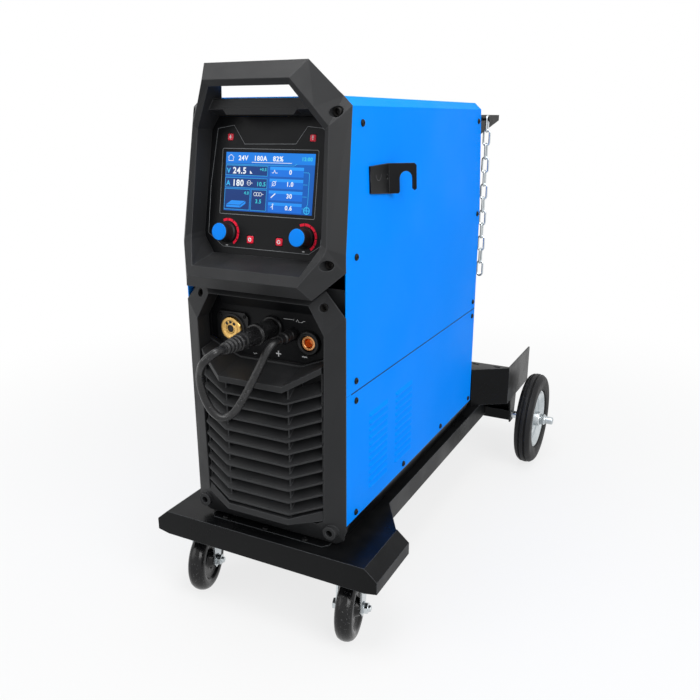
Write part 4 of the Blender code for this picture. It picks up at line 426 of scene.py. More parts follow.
def new_object(name, points, faces, material, sharp=35.0, matrix=None):
    """A mesh with its place in its points, faces outward, smooth up to an angle."""
    grid = bmesh.new()
    corners = [grid.verts.new(point) for point in points]
    for face in faces:
        grid.faces.new([corners[i] for i in face])
    bmesh.ops.remove_doubles(grid, verts=grid.verts, dist=1e-7)
    bmesh.ops.recalc_face_normals(grid, faces=grid.faces)
    if matrix is not None:
        grid.transform(matrix)
    mesh = bpy.data.meshes.new(name)
    grid.to_mesh(mesh)
    grid.free()
    mesh.materials.append(material)
    smooth(mesh, sharp)
    return place_object(name, mesh)


def eased(profile, radius, steps=3, ring=False):
    """The profile with each corner replaced by a short curve."""
    if radius <= 0:
        return list(profile)
    spots = [Vector(point) for point in profile]
    count = len(spots)
    result = []
    for i, spot in enumerate(spots):
        if not ring and i in (0, count - 1):
            result.append(tuple(spot))
            continue
        before, after = spots[i - 1], spots[(i + 1) % count]
        room = min(radius, (before - spot).length * 0.45, (after - spot).length * 0.45)
        first = spot + (before - spot).normalized() * room
        last = spot + (after - spot).normalized() * room
        for k in range(steps + 1):
            t = k / steps
            result.append(tuple(first * (1 - t) ** 2 + spot * 2 * t * (1 - t) + last * t * t))
    return result


def lathe(name, profile, matrix, material, sides=64, ring=False, ease=0.0004, sharp=40.0):
    """Turn a profile of (along, radius) round the matrix's Z axis."""
    rows, points, faces = [], [], []
    for along, radius in eased(profile, ease, ring=ring):
        row = []
        for k in range(sides if radius > 1e-9 else 1):
            turn = 2 * math.pi * k / sides
            row.append(len(points))
            points.append((radius * math.cos(turn), radius * math.sin(turn), along))
        rows.append(row)
    pairs = list(zip(rows, rows[1:])) + ([(rows[-1], rows[0])] if ring else [])
    for near, far in pairs:
        for k in range(sides):
            loop = (near[k % len(near)], near[(k + 1) % len(near)], far[(k + 1) % len(far)],
                    far[k % len(far)])
            loop = tuple(dict.fromkeys(loop))
            if len(loop) > 2:
                faces.append(loop)
    if not ring:
        for row in (rows[0], rows[-1]):
            if len(row) > 1:
                faces.append(tuple(row))
    return new_object(name, points, faces, material, sharp, matrix)


def stacked(count, levels):
    """Faces between rings of points that stand on one another, and the two ends."""
    faces = []
    for level in range(levels - 1):
        for k in range(count):
            j = (k + 1) % count
            faces.append((level * count + k, level * count + j, (level + 1) * count + j,
                          (level + 1) * count + k))
    return faces + [tuple(range(count)), tuple(range((levels - 1) * count, levels * count))]


def fit(item, body, slot, *nodes):
    """Ride on a body and stand for CAD nodes; the slot is not used."""
    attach(item, body)
    if nodes:
        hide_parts(*nodes)
    return item


def merged(name, items):
    """Join several finished meshes into one piece."""
    points, faces, slots, materials = [], [], [], []
    for item in items:
        shift = len(points)
        points += [tuple(v.co) for v in item.data.vertices]
        for face in item.data.polygons:
            faces.append(tuple(shift + i for i in face.vertices))
            material = item.data.materials[face.material_index]
            if material not in materials:
                materials.append(material)
            slots.append(materials.index(material))
    mesh = bpy.data.meshes.new(name)
    mesh.from_pydata(points, [], faces)
    for material in materials:
        mesh.materials.append(material)
    mesh.polygons.foreach_set("material_index", slots)
    smooth(mesh, 38)
    for item in items:
        bpy.data.objects.remove(item)
    return place_object(name, mesh)


SHIFT = -0.3719      # from the front edge of the side panels to the middle of the footprint
CASE_HALF = 0.125    # half the width of the case, up to its shoulder


def spot_y(y):
    """World place of a length that is measured from the front edge of the side panels."""
    return y + SHIFT


def side_wall(side):
    """Matrix that lays a flat drawing on one side of the case."""
    return Matrix.Translation((side * CASE_HALF, 0, 0)) @ Matrix.Rotation(side * math.pi / 2, 4, "Z")


print("lathe ready; the panels' front edge is at y =", SHIFT)

# %% [markdown]
# ## Rear wheels
# The rear wheels are solid rubber tyres with two grooves near the shoulders, on dished zinc rims.
# The dish is a deep bowl with a flat lip, and the hub tube stands out through its middle.
# The wheel nut is hexagonal, with a rounded cap and a washer behind it.

# %% Tyres, rims and nuts
WHEEL_RADIUS, WHEEL_HALF, RIM = 0.0975, 0.017, 0.062
WHEEL_X, AXLE_Y, AXLE, AXLE_END = 0.2124, spot_y(0.7094), 0.008, 0.2574


def hexagon(name, size, low, high, matrix, material, ease=0.0006):
    """A hexagonal nut or bolt head with a turned chamfer."""
    count, points = 24, []
    levels = ((low, 0.90), (low + ease, 1.0), (high - ease, 1.0), (high, 0.88))
    for along, scale in levels:
        for k in range(count):
            turn = 2 * math.pi * k / count
            corner = (turn + math.pi / 6) % (math.pi / 3) - math.pi / 6
            reach = size / math.cos(corner)
            reach = min(reach, size * 1.1) * scale if scale < 1 else min(reach, size * 1.13)
            points.append((reach * math.cos(turn), reach * math.sin(turn), along))
    return new_object(name, points, stacked(count, len(levels)), material, 28.0, matrix)


def make_rear_wheel(name, side):
    """One rear wheel: the tyre, the dished rim and the nut on the axle."""
    middle = standing("x", (side * WHEEL_X, AXLE_Y, WHEEL_RADIUS))
    half, radius = WHEEL_HALF, WHEEL_RADIUS
    tread = [(-half * 0.62, RIM + 0.0003), (-half * 0.90, RIM + 0.0030), (-half * 0.86, RIM + 0.0075),
             (-half * 0.93, RIM + 0.0095), (-half, radius - 0.0150), (-half * 0.97, radius - 0.0085),
             (-half * 0.84, radius - 0.0050), (-half * 0.55, radius - 0.0014),
             (-half * 0.42, radius - 0.0008), (-half * 0.36, radius - 0.0042),
             (-half * 0.26, radius - 0.0042), (-half * 0.20, radius - 0.0002)]
    tread += [(-along, reach) for along, reach in reversed(tread)]
    fit(lathe(f"tyre_{name}", tread, middle, finishes["tyre_rubber"], 96, ring=True, ease=0.0009),
        f"rear_wheel_{name}", "tyre_rubber", f"rear_tyre_{name}")
    out = side
    rim = [(out * half * 0.72, RIM - 0.0030), (out * half * 0.72, RIM), (-out * half * 0.72, RIM),
           (-out * half * 0.72, RIM - 0.0025), (-out * half * 0.40, RIM - 0.0050),
           (-out * half * 0.15, 0.0320), (-out * half * 0.15, 0.0175), (-out * half * 1.15, 0.0150),
           (-out * half * 1.15, AXLE + 0.0003), (out * half * 1.10, AXLE + 0.0003),
           (out * half * 1.10, 0.0135), (out * half * 0.98, 0.0150), (out * half * 0.28, 0.0165),
           (out * half * 0.10, 0.0200), (out * half * 0.05, 0.0320), (out * half * 0.16, 0.0380),
           (out * half * 0.20, RIM - 0.0130), (out * half * 0.42, RIM - 0.0065)]
    fit(lathe(f"rim_{name}", rim, middle, finishes["zinc_plate"], 96, ring=True, ease=0.0012),
        f"rear_wheel_{name}", "zinc_plate", f"rear_rim_{name}")
    start = WHEEL_X + half * 1.10 + 0.0006
    place = standing("x", (0, AXLE_Y, WHEEL_RADIUS))
    nut = hexagon(f"nut_hex_{name}", 0.0112, side * (start + 0.0016), side * (start + 0.0080), place,
                  finishes["zinc_plate"], ease=side * 0.0010)
    cap = lathe(f"nut_cap_{name}", [(side * (start + 0.0070), 0.0), (side * (start + 0.0070), 0.0100),
                                    (side * (start + 0.0102), 0.0092), (side * (start + 0.0110), 0.0060),
                                    (side * (start + 0.0110), 0.0)], place, finishes["zinc_plate"], 48)
    washer = lathe(f"nut_washer_{name}", [(side * start, AXLE), (side * start, 0.0129),
                                          (side * (start + 0.0016), 0.0129),
                                          (side * (start + 0.0016), AXLE)], place, finishes["zinc_plate"],
                   48, ring=True)
    fit(merged(f"wheel_nut_{name}", [nut, cap, washer]), "machine_and_cart", "zinc_plate",
        f"axle_nut_{name}")


make_rear_wheel("left", -1)
make_rear_wheel("right", 1)
bar = [(-AXLE_END, 0), (-AXLE_END, AXLE * 0.75), (-AXLE_END + 0.0018, AXLE), (AXLE_END - 0.0018, AXLE),
       (AXLE_END, AXLE * 0.75), (AXLE_END, 0)]
axle = lathe("axle_bar", bar, standing("x", (0, AXLE_Y, WHEEL_RADIUS)), finishes["zinc_plate"], 48,
             ease=0.0006)
fit(axle, "machine_and_cart", "zinc_plate", "rear_axle")
print("rear tyre is", round(2 * WHEEL_RADIUS * 1000), "mm across")

# %% [markdown]
# ## Casters
# The front casters are polished black rubber tyres moulded on a plastic core, in zinc forks.
# Their tread is crowned, so the light makes one soft streak round it.
# The bolt has a hexagonal head on one side and a lock nut on the other; both turn with the fork.

# %% Caster wheels and bolts
CASTERS = {"left": ((-0.1460, spot_y(0.0340)), 15.0), "right": ((0.1180, spot_y(0.0300)), 12.0)}


def make_caster(name):
    """Wheel and bolt of one caster, turned with its fork."""
    (x, y), degrees = CASTERS[name]
    swivel = Matrix.Translation((x, y, 0)) @ Matrix.Rotation(math.radians(degrees), 4, "Z")
    hub = swivel @ standing("x", (0, -0.030, 0.050))
    half = 0.0135
    wheel = [(-0.0159, 0.0053), (-0.0159, 0.0118), (-half * 0.72, 0.0150), (-half * 0.60, 0.0180),
             (-half * 0.60, 0.0300), (-half * 0.93, 0.0335), (-half, 0.0380), (-half * 0.95, 0.0428),
             (-half * 0.74, 0.0468), (-half * 0.40, 0.0492), (0.0, 0.0500)]
    wheel += [(-along, reach) for along, reach in reversed(wheel[:-1])]
    fit(lathe(f"caster_tyre_{name}", wheel, hub, finishes["caster_rubber"], 96, ring=True, ease=0.0011),
        f"caster_roller_{name}", "caster_rubber", f"caster_wheel_{name}")
    zinc = finishes["zinc_plate"]
    reach = 0.0198
    parts = [lathe("bolt_shank", [(-reach, 0), (-reach, 0.005), (reach, 0.005), (reach, 0)], hub, zinc, 32),
             hexagon("bolt_head", 0.0074, -reach - 0.0060, -reach, hub, zinc),
             lathe("bolt_washer", [(reach, 0.0050), (reach, 0.0090), (reach + 0.0012, 0.0090),
                                   (reach + 0.0012, 0.0050)], hub, zinc, 40, ring=True, ease=0.0002),
             hexagon("bolt_nut", 0.0076, reach + 0.0012, reach + 0.0072, hub, zinc),
             lathe("bolt_end", [(reach + 0.0070, 0), (reach + 0.0070, 0.0049), (reach + 0.0110, 0.0045),
                                (reach + 0.0110, 0)], hub, zinc, 32),]
    fit(merged(f"bolt_{name}", parts), f"caster_swivel_{name}", "zinc_plate", f"caster_bolt_{name}")


make_caster("left")
make_caster("right")
print("casters turned by", [CASTERS[name][1] for name in CASTERS], "degrees")

# %% [markdown]
# ## Sockets, plug and gland
# The torch socket is turned brass with a centre bore and three contact pins.
# The other sockets are black nylon rings with a brass insert, and the rubber plug has finger ribs and a
# ringed boot that lets the lead bend.
# Each one is a lathe piece; the long grips on the plug are thin bars set round it.

# %% Front sockets
FACE = spot_y(0.0092) - 0.0003
brass, nylon, rubber = finishes["brass"], finishes["connector_plastic"], finishes["black_rubber"]
# This near-black finish is painted shade: it fills the bore and pin holes of the torch socket and darkens
# the screws and sleeves in the bezel recesses.
painted_shadow_black = finish("socket_shadow", (0.0035, 0.0030, 0.0025), (0.006, 0.005, 0.004), 0.6, grain=900)
EURO = (-0.0640, 0, 0.4440)
bore = [(FACE + 0.022, 0), (FACE + 0.022, 0.0138), (FACE + 0.010, 0.0172), (FACE - 0.0075, 0.0172),
        (FACE - 0.0095, 0.0158), (FACE - 0.0095, 0.0118), (FACE - 0.0088, 0.0112), (FACE - 0.0088, 0.0072),
        (FACE - 0.0096, 0.0066), (FACE - 0.0096, 0.0052), (FACE + 0.0050, 0.0048), (FACE + 0.0050, 0)]
parts = [lathe("torch_barrel", bore, standing("y", EURO), brass, 72, ease=0.0005)]
shadow = [(FACE - 0.0078, 0), (FACE - 0.0078, 0.0050), (FACE - 0.0074, 0.0050), (FACE - 0.0074, 0)]
parts.append(lathe("bore_shadow", shadow, standing("y", EURO), painted_shadow_black, 32, ease=0))
# Each contact pin hole is a black disc of painted shade set inside the bore.
for degrees in (50, 90, 130):
    x = EURO[0] + 0.0092 * math.cos(math.radians(degrees))
    z = EURO[2] + 0.0092 * math.sin(math.radians(degrees))
    hole_shade = [(FACE - 0.0089, 0), (FACE - 0.0089, 0.0023), (FACE - 0.0086, 0.0023), (FACE - 0.0086, 0)]
    parts.append(lathe("pin_hole", hole_shade, standing("y", (x, 0, z)), painted_shadow_black, 20, ease=0))
fit(merged("torch_socket", parts), "machine_and_cart", "brass", "euro_socket")

MINUS = (0.0580, 0, 0.4370)
PLUS = (0.0, 0, 0.4515)
for name, centre in (("plus", PLUS), ("minus", MINUS)):
    ring = [(FACE, 0.0112), (FACE + 0.020, 0.0112), (FACE + 0.020, 0.0127), (FACE, 0.0127), (FACE, 0.0172),
            (FACE - 0.0032, 0.0172), (FACE - 0.0050, 0.0155), (FACE - 0.0050, 0.0130),
            (FACE - 0.0044, 0.0125), (FACE - 0.0044, 0.0118), (FACE - 0.0050, 0.0112)]
    fit(lathe(f"{name}_ring", ring, standing("y", centre), nylon, 64, ring=True, ease=0.0006),
        "machine_and_cart", "connector_plastic", f"{name}_socket")
insert = [(FACE + 0.018, 0), (FACE + 0.018, 0.0108), (FACE - 0.0020, 0.0108), (FACE - 0.0030, 0.0098),
          (FACE - 0.0030, 0.0072), (FACE - 0.0020, 0.0062), (FACE + 0.0120, 0.0058), (FACE + 0.0120, 0)]
# Its edge colour is a painted highlight along the sharp edges.
copper = finish("copper_contact", (0.82, 0.40, 0.17), (0.74, 0.33, 0.12), 0.30, metallic=1.0, grain=1300,
                depth=0.00002, edge=(0.95, 0.62, 0.36), edge_radius=0.0004, mottle=110.0, rough_drift=0.05)
fit(lathe("minus_contact", insert, standing("y", MINUS), copper, 64), "machine_and_cart", "brass",
    "minus_insert")
print("sockets at x =", EURO[0], PLUS[0], MINUS[0])

# %% Plug and gland of the jumper lead
LEAD_RADIUS, BOOT_END = 0.0053, spot_y(-0.105)
plug = [(FACE + 0.014, 0), (FACE + 0.014, 0.0106), (FACE - 0.0053, 0.0106), (FACE - 0.0053, 0.0128),
        (spot_y(-0.0260), 0.0128), (spot_y(-0.0275), 0.0150), (spot_y(-0.0335), 0.0150),
        (spot_y(-0.0350), 0.0124), (spot_y(-0.0385), 0.0114), (spot_y(-0.0600), 0.0112),
        (spot_y(-0.0640), 0.0120), (spot_y(-0.0675), 0.0108)]
step = (-0.105 + 0.0720) / 5
for k in range(5):
    radius = 0.0112 - 0.0008 * k
    plug += [(spot_y(-0.0700 + k * step), radius), (spot_y(-0.0700 + (k + 0.55) * step), radius - 0.0003),
             (spot_y(-0.0700 + (k + 0.72) * step), radius - 0.0019)]
plug += [(BOOT_END, LEAD_RADIUS + 0.0012), (BOOT_END, 0)]
parts = [lathe("plug_shell", plug, standing("y", PLUS), rubber, 72, ease=0.0007)]
for k in range(12):
    turn = 2 * math.pi * k / 12
    for low, high, reach, half in ((spot_y(-0.0600), spot_y(-0.0385), 0.0121, 0.0011),
                                   (spot_y(-0.0338), spot_y(-0.0272), 0.01495, 0.0007)):
        x0, z0 = PLUS[0] + reach * math.cos(turn), PLUS[2] + reach * math.sin(turn)
        parts.append(lathe("grip", [(low, 0), (low + 0.0008, half), (high - 0.0008, half), (high, 0)],
                           standing("y", (x0 - half * 0.6 * math.cos(turn), 0,
                                          z0 - half * 0.6 * math.sin(turn))), rubber, 8, ease=0))
fit(merged("plug", parts), "machine_and_cart", "black_rubber", "jumper_plug")

GLAND = (0.0330, 0, 0.4465)
EXIT_Y = spot_y(0.0092 - 0.0375)
gland = [(FACE + 0.012, 0), (FACE + 0.012, 0.0052), (FACE, 0.0052), (FACE, 0.0092), (FACE - 0.0120, 0.0088),
         (FACE - 0.0130, 0.0078), (FACE - 0.0145, 0.0078), (FACE - 0.0155, 0.0084), (FACE - 0.0165, 0.0078),
         (FACE - 0.0180, 0.0078), (FACE - 0.0190, 0.0084), (FACE - 0.0200, 0.0076), (FACE - 0.0225, 0.0086),
         (FACE - 0.0265, 0.0084), (FACE - 0.0280, 0.0066), (EXIT_Y + 0.0003, LEAD_RADIUS + 0.0009),
         (EXIT_Y + 0.0003, 0)]
fit(lathe("gland", gland, standing("y", GLAND), nylon, 56, ease=0.0004), "machine_and_cart",
    "connector_plastic", "lead_gland")
print("plug is", round((FACE - BOOT_END) * 1000), "mm long outside its socket")

# %% [markdown]
# ## Jumper lead
# A short rubber cable joins the gland to the plug and sets the polarity of the torch.
# It leaves straight, drops under its own weight, makes one loop and comes back up into the boot.
# The route is a list of points from the CAD model, smoothed in between, so the curve has the cable's real
# length.

# %% Lead as a curve
ROUTE = [(0.0330, -0.0283, 0.4465), (0.0330, -0.0393, 0.4465), (0.0290, -0.0490, 0.4380),
         (0.0215, -0.0570, 0.4180), (0.0125, -0.0680, 0.3930), (0.0060, -0.0790, 0.3740),
         (-0.0010, -0.0890, 0.3600), (-0.0110, -0.0990, 0.3560), (-0.0205, -0.1060, 0.3650),
         (-0.0275, -0.1110, 0.3830), (-0.0290, -0.1160, 0.4030), (-0.0235, -0.1225, 0.4230),
         (-0.0120, -0.1280, 0.4400), (0.0, -0.1190, 0.4515), (0.0, -0.1053, 0.4515)]


def smooth_route(route, steps):
    """Points on a smooth curve through the route's points, straight at both ends."""
    spots = [Vector(point) for point in route]
    points = [spots[0]]
    for i in range(1, len(spots) - 2):
        before, start, end, after = spots[i - 1], spots[i], spots[i + 1], spots[i + 2]
        for k in range(steps):
            t = k / steps
            square = 2 * before - 5 * start + 4 * end - after
            cube = 3 * start - before - 3 * end + after
            points.append(0.5 * (2 * start + (end - before) * t + square * t * t + cube * t ** 3))
    return points + [spots[-2], spots[-1]]


route = [point + Vector((0, SHIFT, 0)) for point in smooth_route(ROUTE, 8)]
lead_curve = bpy.data.curves.new("polarity_lead", "CURVE")
lead_curve.dimensions = "3D"
spline = lead_curve.splines.new("POLY")
spline.points.add(len(route) - 1)
for spot, point in zip(spline.points, route):
    spot.co = (*point, 1.0)
lead_curve.bevel_depth = LEAD_RADIUS
lead_curve.bevel_resolution = 8
lead_curve.use_fill_caps = True
lead_curve.materials.append(rubber)
lead = place_object("polarity_lead", lead_curve)
fit(lead, "machine_and_cart", "black_rubber", "jumper_lead")

# %% [markdown]
# ## Knobs, buttons and lenses
# The control panel leans back by about ten degrees, so everything on it is drawn flat and then turned with
# one matrix.
# Each knob is a black body with fine ribs for the fingers and a flat blue cap let into its end.
# The ribs are made by moving every other column of points, which costs nothing and reads well from a
# distance.

# %% Panel frame and knobs
PANEL_SLOPE = 0.1748      # how far the panel leans back for each metre up
PANEL_MIDDLE = 0.6455     # height of its middle above the floor
PANEL_Y = spot_y(0.016 - (0.683 - PANEL_MIDDLE) * PANEL_SLOPE)
LEAN = math.atan(PANEL_SLOPE)
PANEL = Matrix.Translation((0, PANEL_Y, PANEL_MIDDLE)) @ Matrix.Rotation(-LEAN, 4, "X")


def height_v(z):
    """Height on the leaning panel from a height above the floor."""
    return (z - PANEL_MIDDLE) / math.cos(LEAN)


KNOB_X, KNOB_V = 0.0595, height_v(0.5795)
knob_black = finish("knob_black", (0.0075, 0.0075, 0.0080), (0.0105, 0.0105, 0.0110), 0.40, grain=1500,
                    depth=0.00003, sheen_spec=0.25)
# The cap's lighter edge colour is a painted highlight along its rim.
cap_blue = finish("cap_blue", (0.0, 0.225, 0.86), (0.0, 0.210, 0.80), 0.40, grain=1600, depth=0.00003,
                  edge=(0.04, 0.42, 1.0), edge_radius=0.0006, sheen_spec=0.10)


def on_panel(u, v):
    """Matrix for a shape whose own Z points into the leaning panel at (u, v)."""
    return PANEL @ Matrix.Translation((u, 0, v)) @ AXES["y"]


def make_knob(name, side):
    """Black ribbed body and blue cap of one knob."""
    place = on_panel(side * KNOB_X, KNOB_V)
    body = [(0.009, 0), (0.009, 0.0030), (-0.0003, 0.0030), (-0.0003, 0.0138), (-0.0028, 0.0138),
            (-0.0045, 0.0124), (-0.0180, 0.01215), (-0.0192, 0.0117), (-0.0192, 0.0)]
    grip = lathe("knob_body", body, place, knob_black, 96, ease=0.0005)
    inverse = place.inverted()
    for k, vertex in enumerate(grip.data.vertices):
        local = inverse @ vertex.co
        reach = math.hypot(local.x, local.y)
        if -0.0182 < local.z < -0.0040 and reach > 0.0110:
            rib = 1 - 0.030 * (0.5 + 0.5 * math.cos(32 * math.atan2(local.y, local.x)))
            vertex.co = place @ Vector((local.x * rib, local.y * rib, local.z))
    cap = lathe("knob_cap", [(-0.0186, 0), (-0.0186, 0.0112), (-0.0196, 0.0112), (-0.0200, 0.0106),
                             (-0.0200, 0)], place, cap_blue, 72, ease=0.0003)
    fit(merged(f"knob_{name}_turned", [grip, cap]), f"knob_{name}", "blue_paint", f"control_knob_{name}")


make_knob("left", -1)
make_knob("right", 1)
print("knobs stand 20 mm proud of the leaning panel")


# %% Square buttons and lenses
def rounded_outline(width, height, radius, steps=5):
    """Corner-rounded rectangle about the origin, as (u, v) points."""
    outline = []
    for cx, cy, start in ((1, 1, 0), (-1, 1, 90), (-1, -1, 180), (1, -1, 270)):
        for k in range(steps + 1):
            turn = math.radians(start + 90 * k / steps)
            outline.append((cx * (width / 2 - radius) + radius * math.cos(turn),
                            cy * (height / 2 - radius) + radius * math.sin(turn)))
    return outline


def pillow(name, width, radius, levels, matrix, material):
    """A square key with rounded corners; levels are (depth, inset)."""
    points = []
    for depth, inset in levels:
        for u, v in rounded_outline(width - 2 * inset, width - 2 * inset, max(radius - inset, 0.0002)):
            points.append((u, depth, v))
    faces = stacked(len(points) // len(levels), len(levels))
    return new_object(name, points, faces, material, 30.0, matrix)


LENS_X, LENS_V = 0.0625, height_v(0.7020)
KEY_X, KEY_V = 0.0225, height_v(0.5722)
red = finishes["red_lens"]
for name, side in (("left", -1), ("right", 1)):
    lens = pillow(f"lens_{name}", 0.0085, 0.0016, ((0.0013, 0.0), (-0.0002, 0.0), (-0.0005, 0.0003),
                                                   (-0.0006, 0.0008)),
                  PANEL @ Matrix.Translation((side * LENS_X, 0, LENS_V)), red)
    fit(lens, "machine_and_cart", "red_lens", f"indicator_lens_{name}")
    key = pillow(f"key_{name}", 0.0098, 0.0018, ((0.0036, 0.0), (-0.0006, 0.0), (-0.0010, 0.0004),
                                                 (-0.0012, 0.0010)),
                 PANEL @ Matrix.Translation((side * KEY_X, 0, KEY_V)), red)
    fit(key, f"button_{name}", "red_lens", f"push_button_{name}")
print("keys and lenses are 9.8 and 8.5 mm square")

# %% [markdown]
# ## Printing on the panel
# Lines, arcs and marks are screen printed in a film of ink.
# Each is a flat ribbon that lies a tenth of a millimetre above the surface, so that it never flickers into
# it.
# A ribbon follows a list of points with mitred corners, and a ring is just a ribbon round a circle.

# %% Ink helpers
INK_LIFT = 0.00012


def ink(name, colour, glow=0.0, roughness=0.5):
    """Printed or lit colour with a faint unevenness."""
    material = bpy.data.materials.new(name)
    material.use_nodes = True
    tree = material.node_tree
    shader = tree.nodes["Principled BSDF"]
    texture = use_group(tree, grain_group, Scale=1800.0, Mottle_Scale=260.0)
    darker = tuple(value * 0.88 for value in colour)
    base = mix_colour(tree, texture.outputs["Mottle"], colour, darker)
    tree.links.new(base, shader.inputs["Base Color"])
    shader.inputs["Roughness"].default_value = roughness
    shader.inputs["Specular IOR Level"].default_value = 0.15
    if glow:
        tree.links.new(base, shader.inputs["Emission Color"])
        shader.inputs["Emission Strength"].default_value = glow
    return material


def sheet_of(name, outlines, material, matrix, lift=INK_LIFT):
    """Flat closed outlines of (u, v) points, laid just in front of a surface."""
    points, faces = [], []
    for outline in outlines:
        start = len(points)
        points += [(u, -lift, v) for u, v in outline]
        faces.append(tuple(range(start, len(points))))
    mesh = bpy.data.meshes.new(name)
    mesh.from_pydata(points, [], faces)
    mesh.transform(matrix)
    front = matrix.to_3x3() @ Vector((0, -1, 0))
    for face in mesh.polygons:
        if face.normal.dot(front) < 0:
            face.flip()
    mesh.materials.append(material)
    return place_object(name, mesh)


def ribbon(points, width, closed=False):
    """Quads that follow a line, with mitred corners."""
    spots = [Vector(point) for point in points]
    count = len(spots)
    rails = []
    for i, spot in enumerate(spots):
        before = spots[i - 1] if closed or i > 0 else spot
        after = spots[(i + 1) % count] if closed or i < count - 1 else spot
        first = (spot - before).normalized() if (spot - before).length > 0 else (after - spot).normalized()
        second = (after - spot).normalized() if (after - spot).length > 0 else first
        across = (first + second).normalized()
        normal = Vector((-across.y, across.x))
        stretch = max(0.4, normal.dot(Vector((-first.y, first.x))))
        rails.append((spot + normal * width / 2 / stretch, spot - normal * width / 2 / stretch))
    quads = []
    for i in range(count if closed else count - 1):
        a, b = rails[i], rails[(i + 1) % count]
        quads.append([a[0], b[0], b[1], a[1]])
    return quads


def circle_line(centre, radius, start=0, end=360, steps=24):
    """Points on an arc, angles in degrees from the right."""
    turns = [math.radians(start + (end - start) * k / steps) for k in range(steps + 1)]
    return [(centre[0] + radius * math.cos(turn), centre[1] + radius * math.sin(turn)) for turn in turns]


def rectangle(u, v, width, height):
    """A rectangle by its lower left corner."""
    return [(u, v), (u + width, v), (u + width, v + height), (u, v + height)]


print("ink lies", INK_LIFT * 1000, "mm above its surface")

# %% Lines, arcs and marks of the control panel
grey_ink = ink("grey_ink", (0.26, 0.27, 0.28))
white_ink = ink("white_ink", (0.80, 0.80, 0.80))
red_ink = ink("red_ink", (0.88, 0.012, 0.045))
border = [(-0.0905, height_v(0.6400)), (-0.0833, height_v(0.7126)), (-0.0577, height_v(0.7168)),
          (-0.0396, height_v(0.6933)), (0.0382, height_v(0.6944)), (0.0539, height_v(0.7157)),
          (0.0758, height_v(0.7136)), (0.0860, height_v(0.7060)), (0.0905, height_v(0.6400)),
          (0.0832, height_v(0.5708)), (0.0678, height_v(0.5601)), (-0.0656, height_v(0.5609)),
          (-0.0907, height_v(0.5772))]
lines = ribbon(border, 0.0005, closed=True)
frame_line = [(u - 0.0008, v) for u, v in rounded_outline(0.1462, 0.0852, 0.0022)]
lines += ribbon(frame_line, 0.0006, closed=True)
panel_lines = sheet_of("panel_lines", lines, grey_ink, PANEL)
fit(panel_lines, "machine_and_cart", "panel_foil")

arcs, marks = [], []
for side in (-1, 1):
    centre = (side * KNOB_X, KNOB_V)
    for start, end in ((116, 93), (90, 63), (60, 32), (29, 1), (-2, -27), (-30, -54)):
        arcs += ribbon(circle_line(centre, 0.0171, start, end, 6), 0.0034)
    marks += ribbon([(centre[0] - 0.0018, -0.0840), (centre[0] + 0.0018, -0.0840)], 0.0007)
    marks += ribbon([(centre[0], -0.0850), (centre[0], -0.0830)], 0.0007) if side > 0 else []
fit(sheet_of("dial_arcs", arcs, red_ink, PANEL), "machine_and_cart", "panel_foil")
fit(sheet_of("dial_marks", marks, white_ink, PANEL), "machine_and_cart", "panel_foil")

lens_marks = []
for side in (-1, 1):
    u = side * LENS_X
    lens_marks += ribbon([(u, LENS_V - 0.0004), (u, LENS_V + 0.0028)], 0.0013)
    lens_marks += ribbon(circle_line((u, LENS_V - 0.0017), 0.0004, 0, 360, 8), 0.0006) if side > 0 else \
        ribbon([(u - 0.0015, LENS_V + 0.0004), (u, LENS_V - 0.0020), (u + 0.0015, LENS_V + 0.0004)], 0.0007)
fit(sheet_of("lens_marks", lens_marks, white_ink, PANEL, lift=0.00075), "machine_and_cart", "red_lens")
for name, side in (("left", -1), ("right", 1)):
    rings = ribbon(circle_line((side * KEY_X, KEY_V), 0.0021, 0, 360, 20), 0.0011)
    fit(sheet_of(f"key_ring_{name}", rings, white_ink, PANEL, lift=0.00135), f"button_{name}", "red_lens")
print("printed", len(lines), "line quads and", len(arcs), "arc quads")

# %% Marks beside the sockets
SOCKET_FACE = Matrix.Translation((0, spot_y(0.0092), 0))
PLUS_MARK, MINUS_MARK, ARC_MARK = (0.0083, 0.4149), (0.0501, 0.4161), (-0.0303, 0.4097)
signs = ribbon([(PLUS_MARK[0] - 0.0042, PLUS_MARK[1]), (PLUS_MARK[0] + 0.0042, PLUS_MARK[1])], 0.0018)
signs += ribbon([(PLUS_MARK[0], PLUS_MARK[1] - 0.0042), (PLUS_MARK[0], PLUS_MARK[1] - 0.0009)], 0.0018)
signs += ribbon([(PLUS_MARK[0], PLUS_MARK[1] + 0.0009), (PLUS_MARK[0], PLUS_MARK[1] + 0.0042)], 0.0018)
signs += ribbon([(MINUS_MARK[0] - 0.0040, MINUS_MARK[1]), (MINUS_MARK[0] + 0.0040, MINUS_MARK[1])], 0.0018)
signs += ribbon([(ARC_MARK[0] - 0.0030, ARC_MARK[1] + 0.001), (ARC_MARK[0] - 0.001, ARC_MARK[1] - 0.0008),
                 (ARC_MARK[0] + 0.0010, ARC_MARK[1] + 0.0006),
                 (ARC_MARK[0] + 0.0030, ARC_MARK[1] + 0.0002)], 0.0007)
signs += ribbon([(0.0180, 0.4663), (0.0330, 0.4663)], 0.0005)
signs += ribbon([(0.0340, 0.4650), (0.0340, 0.4676)], 0.0006)
signs += ribbon([(0.0380, 0.4640), (0.0400, 0.4675), (0.0420, 0.4640), (0.0470, 0.4640), (0.0490, 0.4660),
                 (0.0520, 0.4660)], 0.0005)
fit(sheet_of("socket_marks", signs, white_ink, SOCKET_FACE), "machine_and_cart", "panel_foil")
print("socket marks:", len(signs), "quads")

# %% [markdown]
# ## Display
# The display is a bright blue picture behind glass: a header strip, two large readouts, two small tiles and
# a column of four values.
# The layout here is our own and shows only numbers, units and simple icons.
# The picture is made of flat tiles at slightly different heights, each with an emission colour that grades
# from top to bottom.

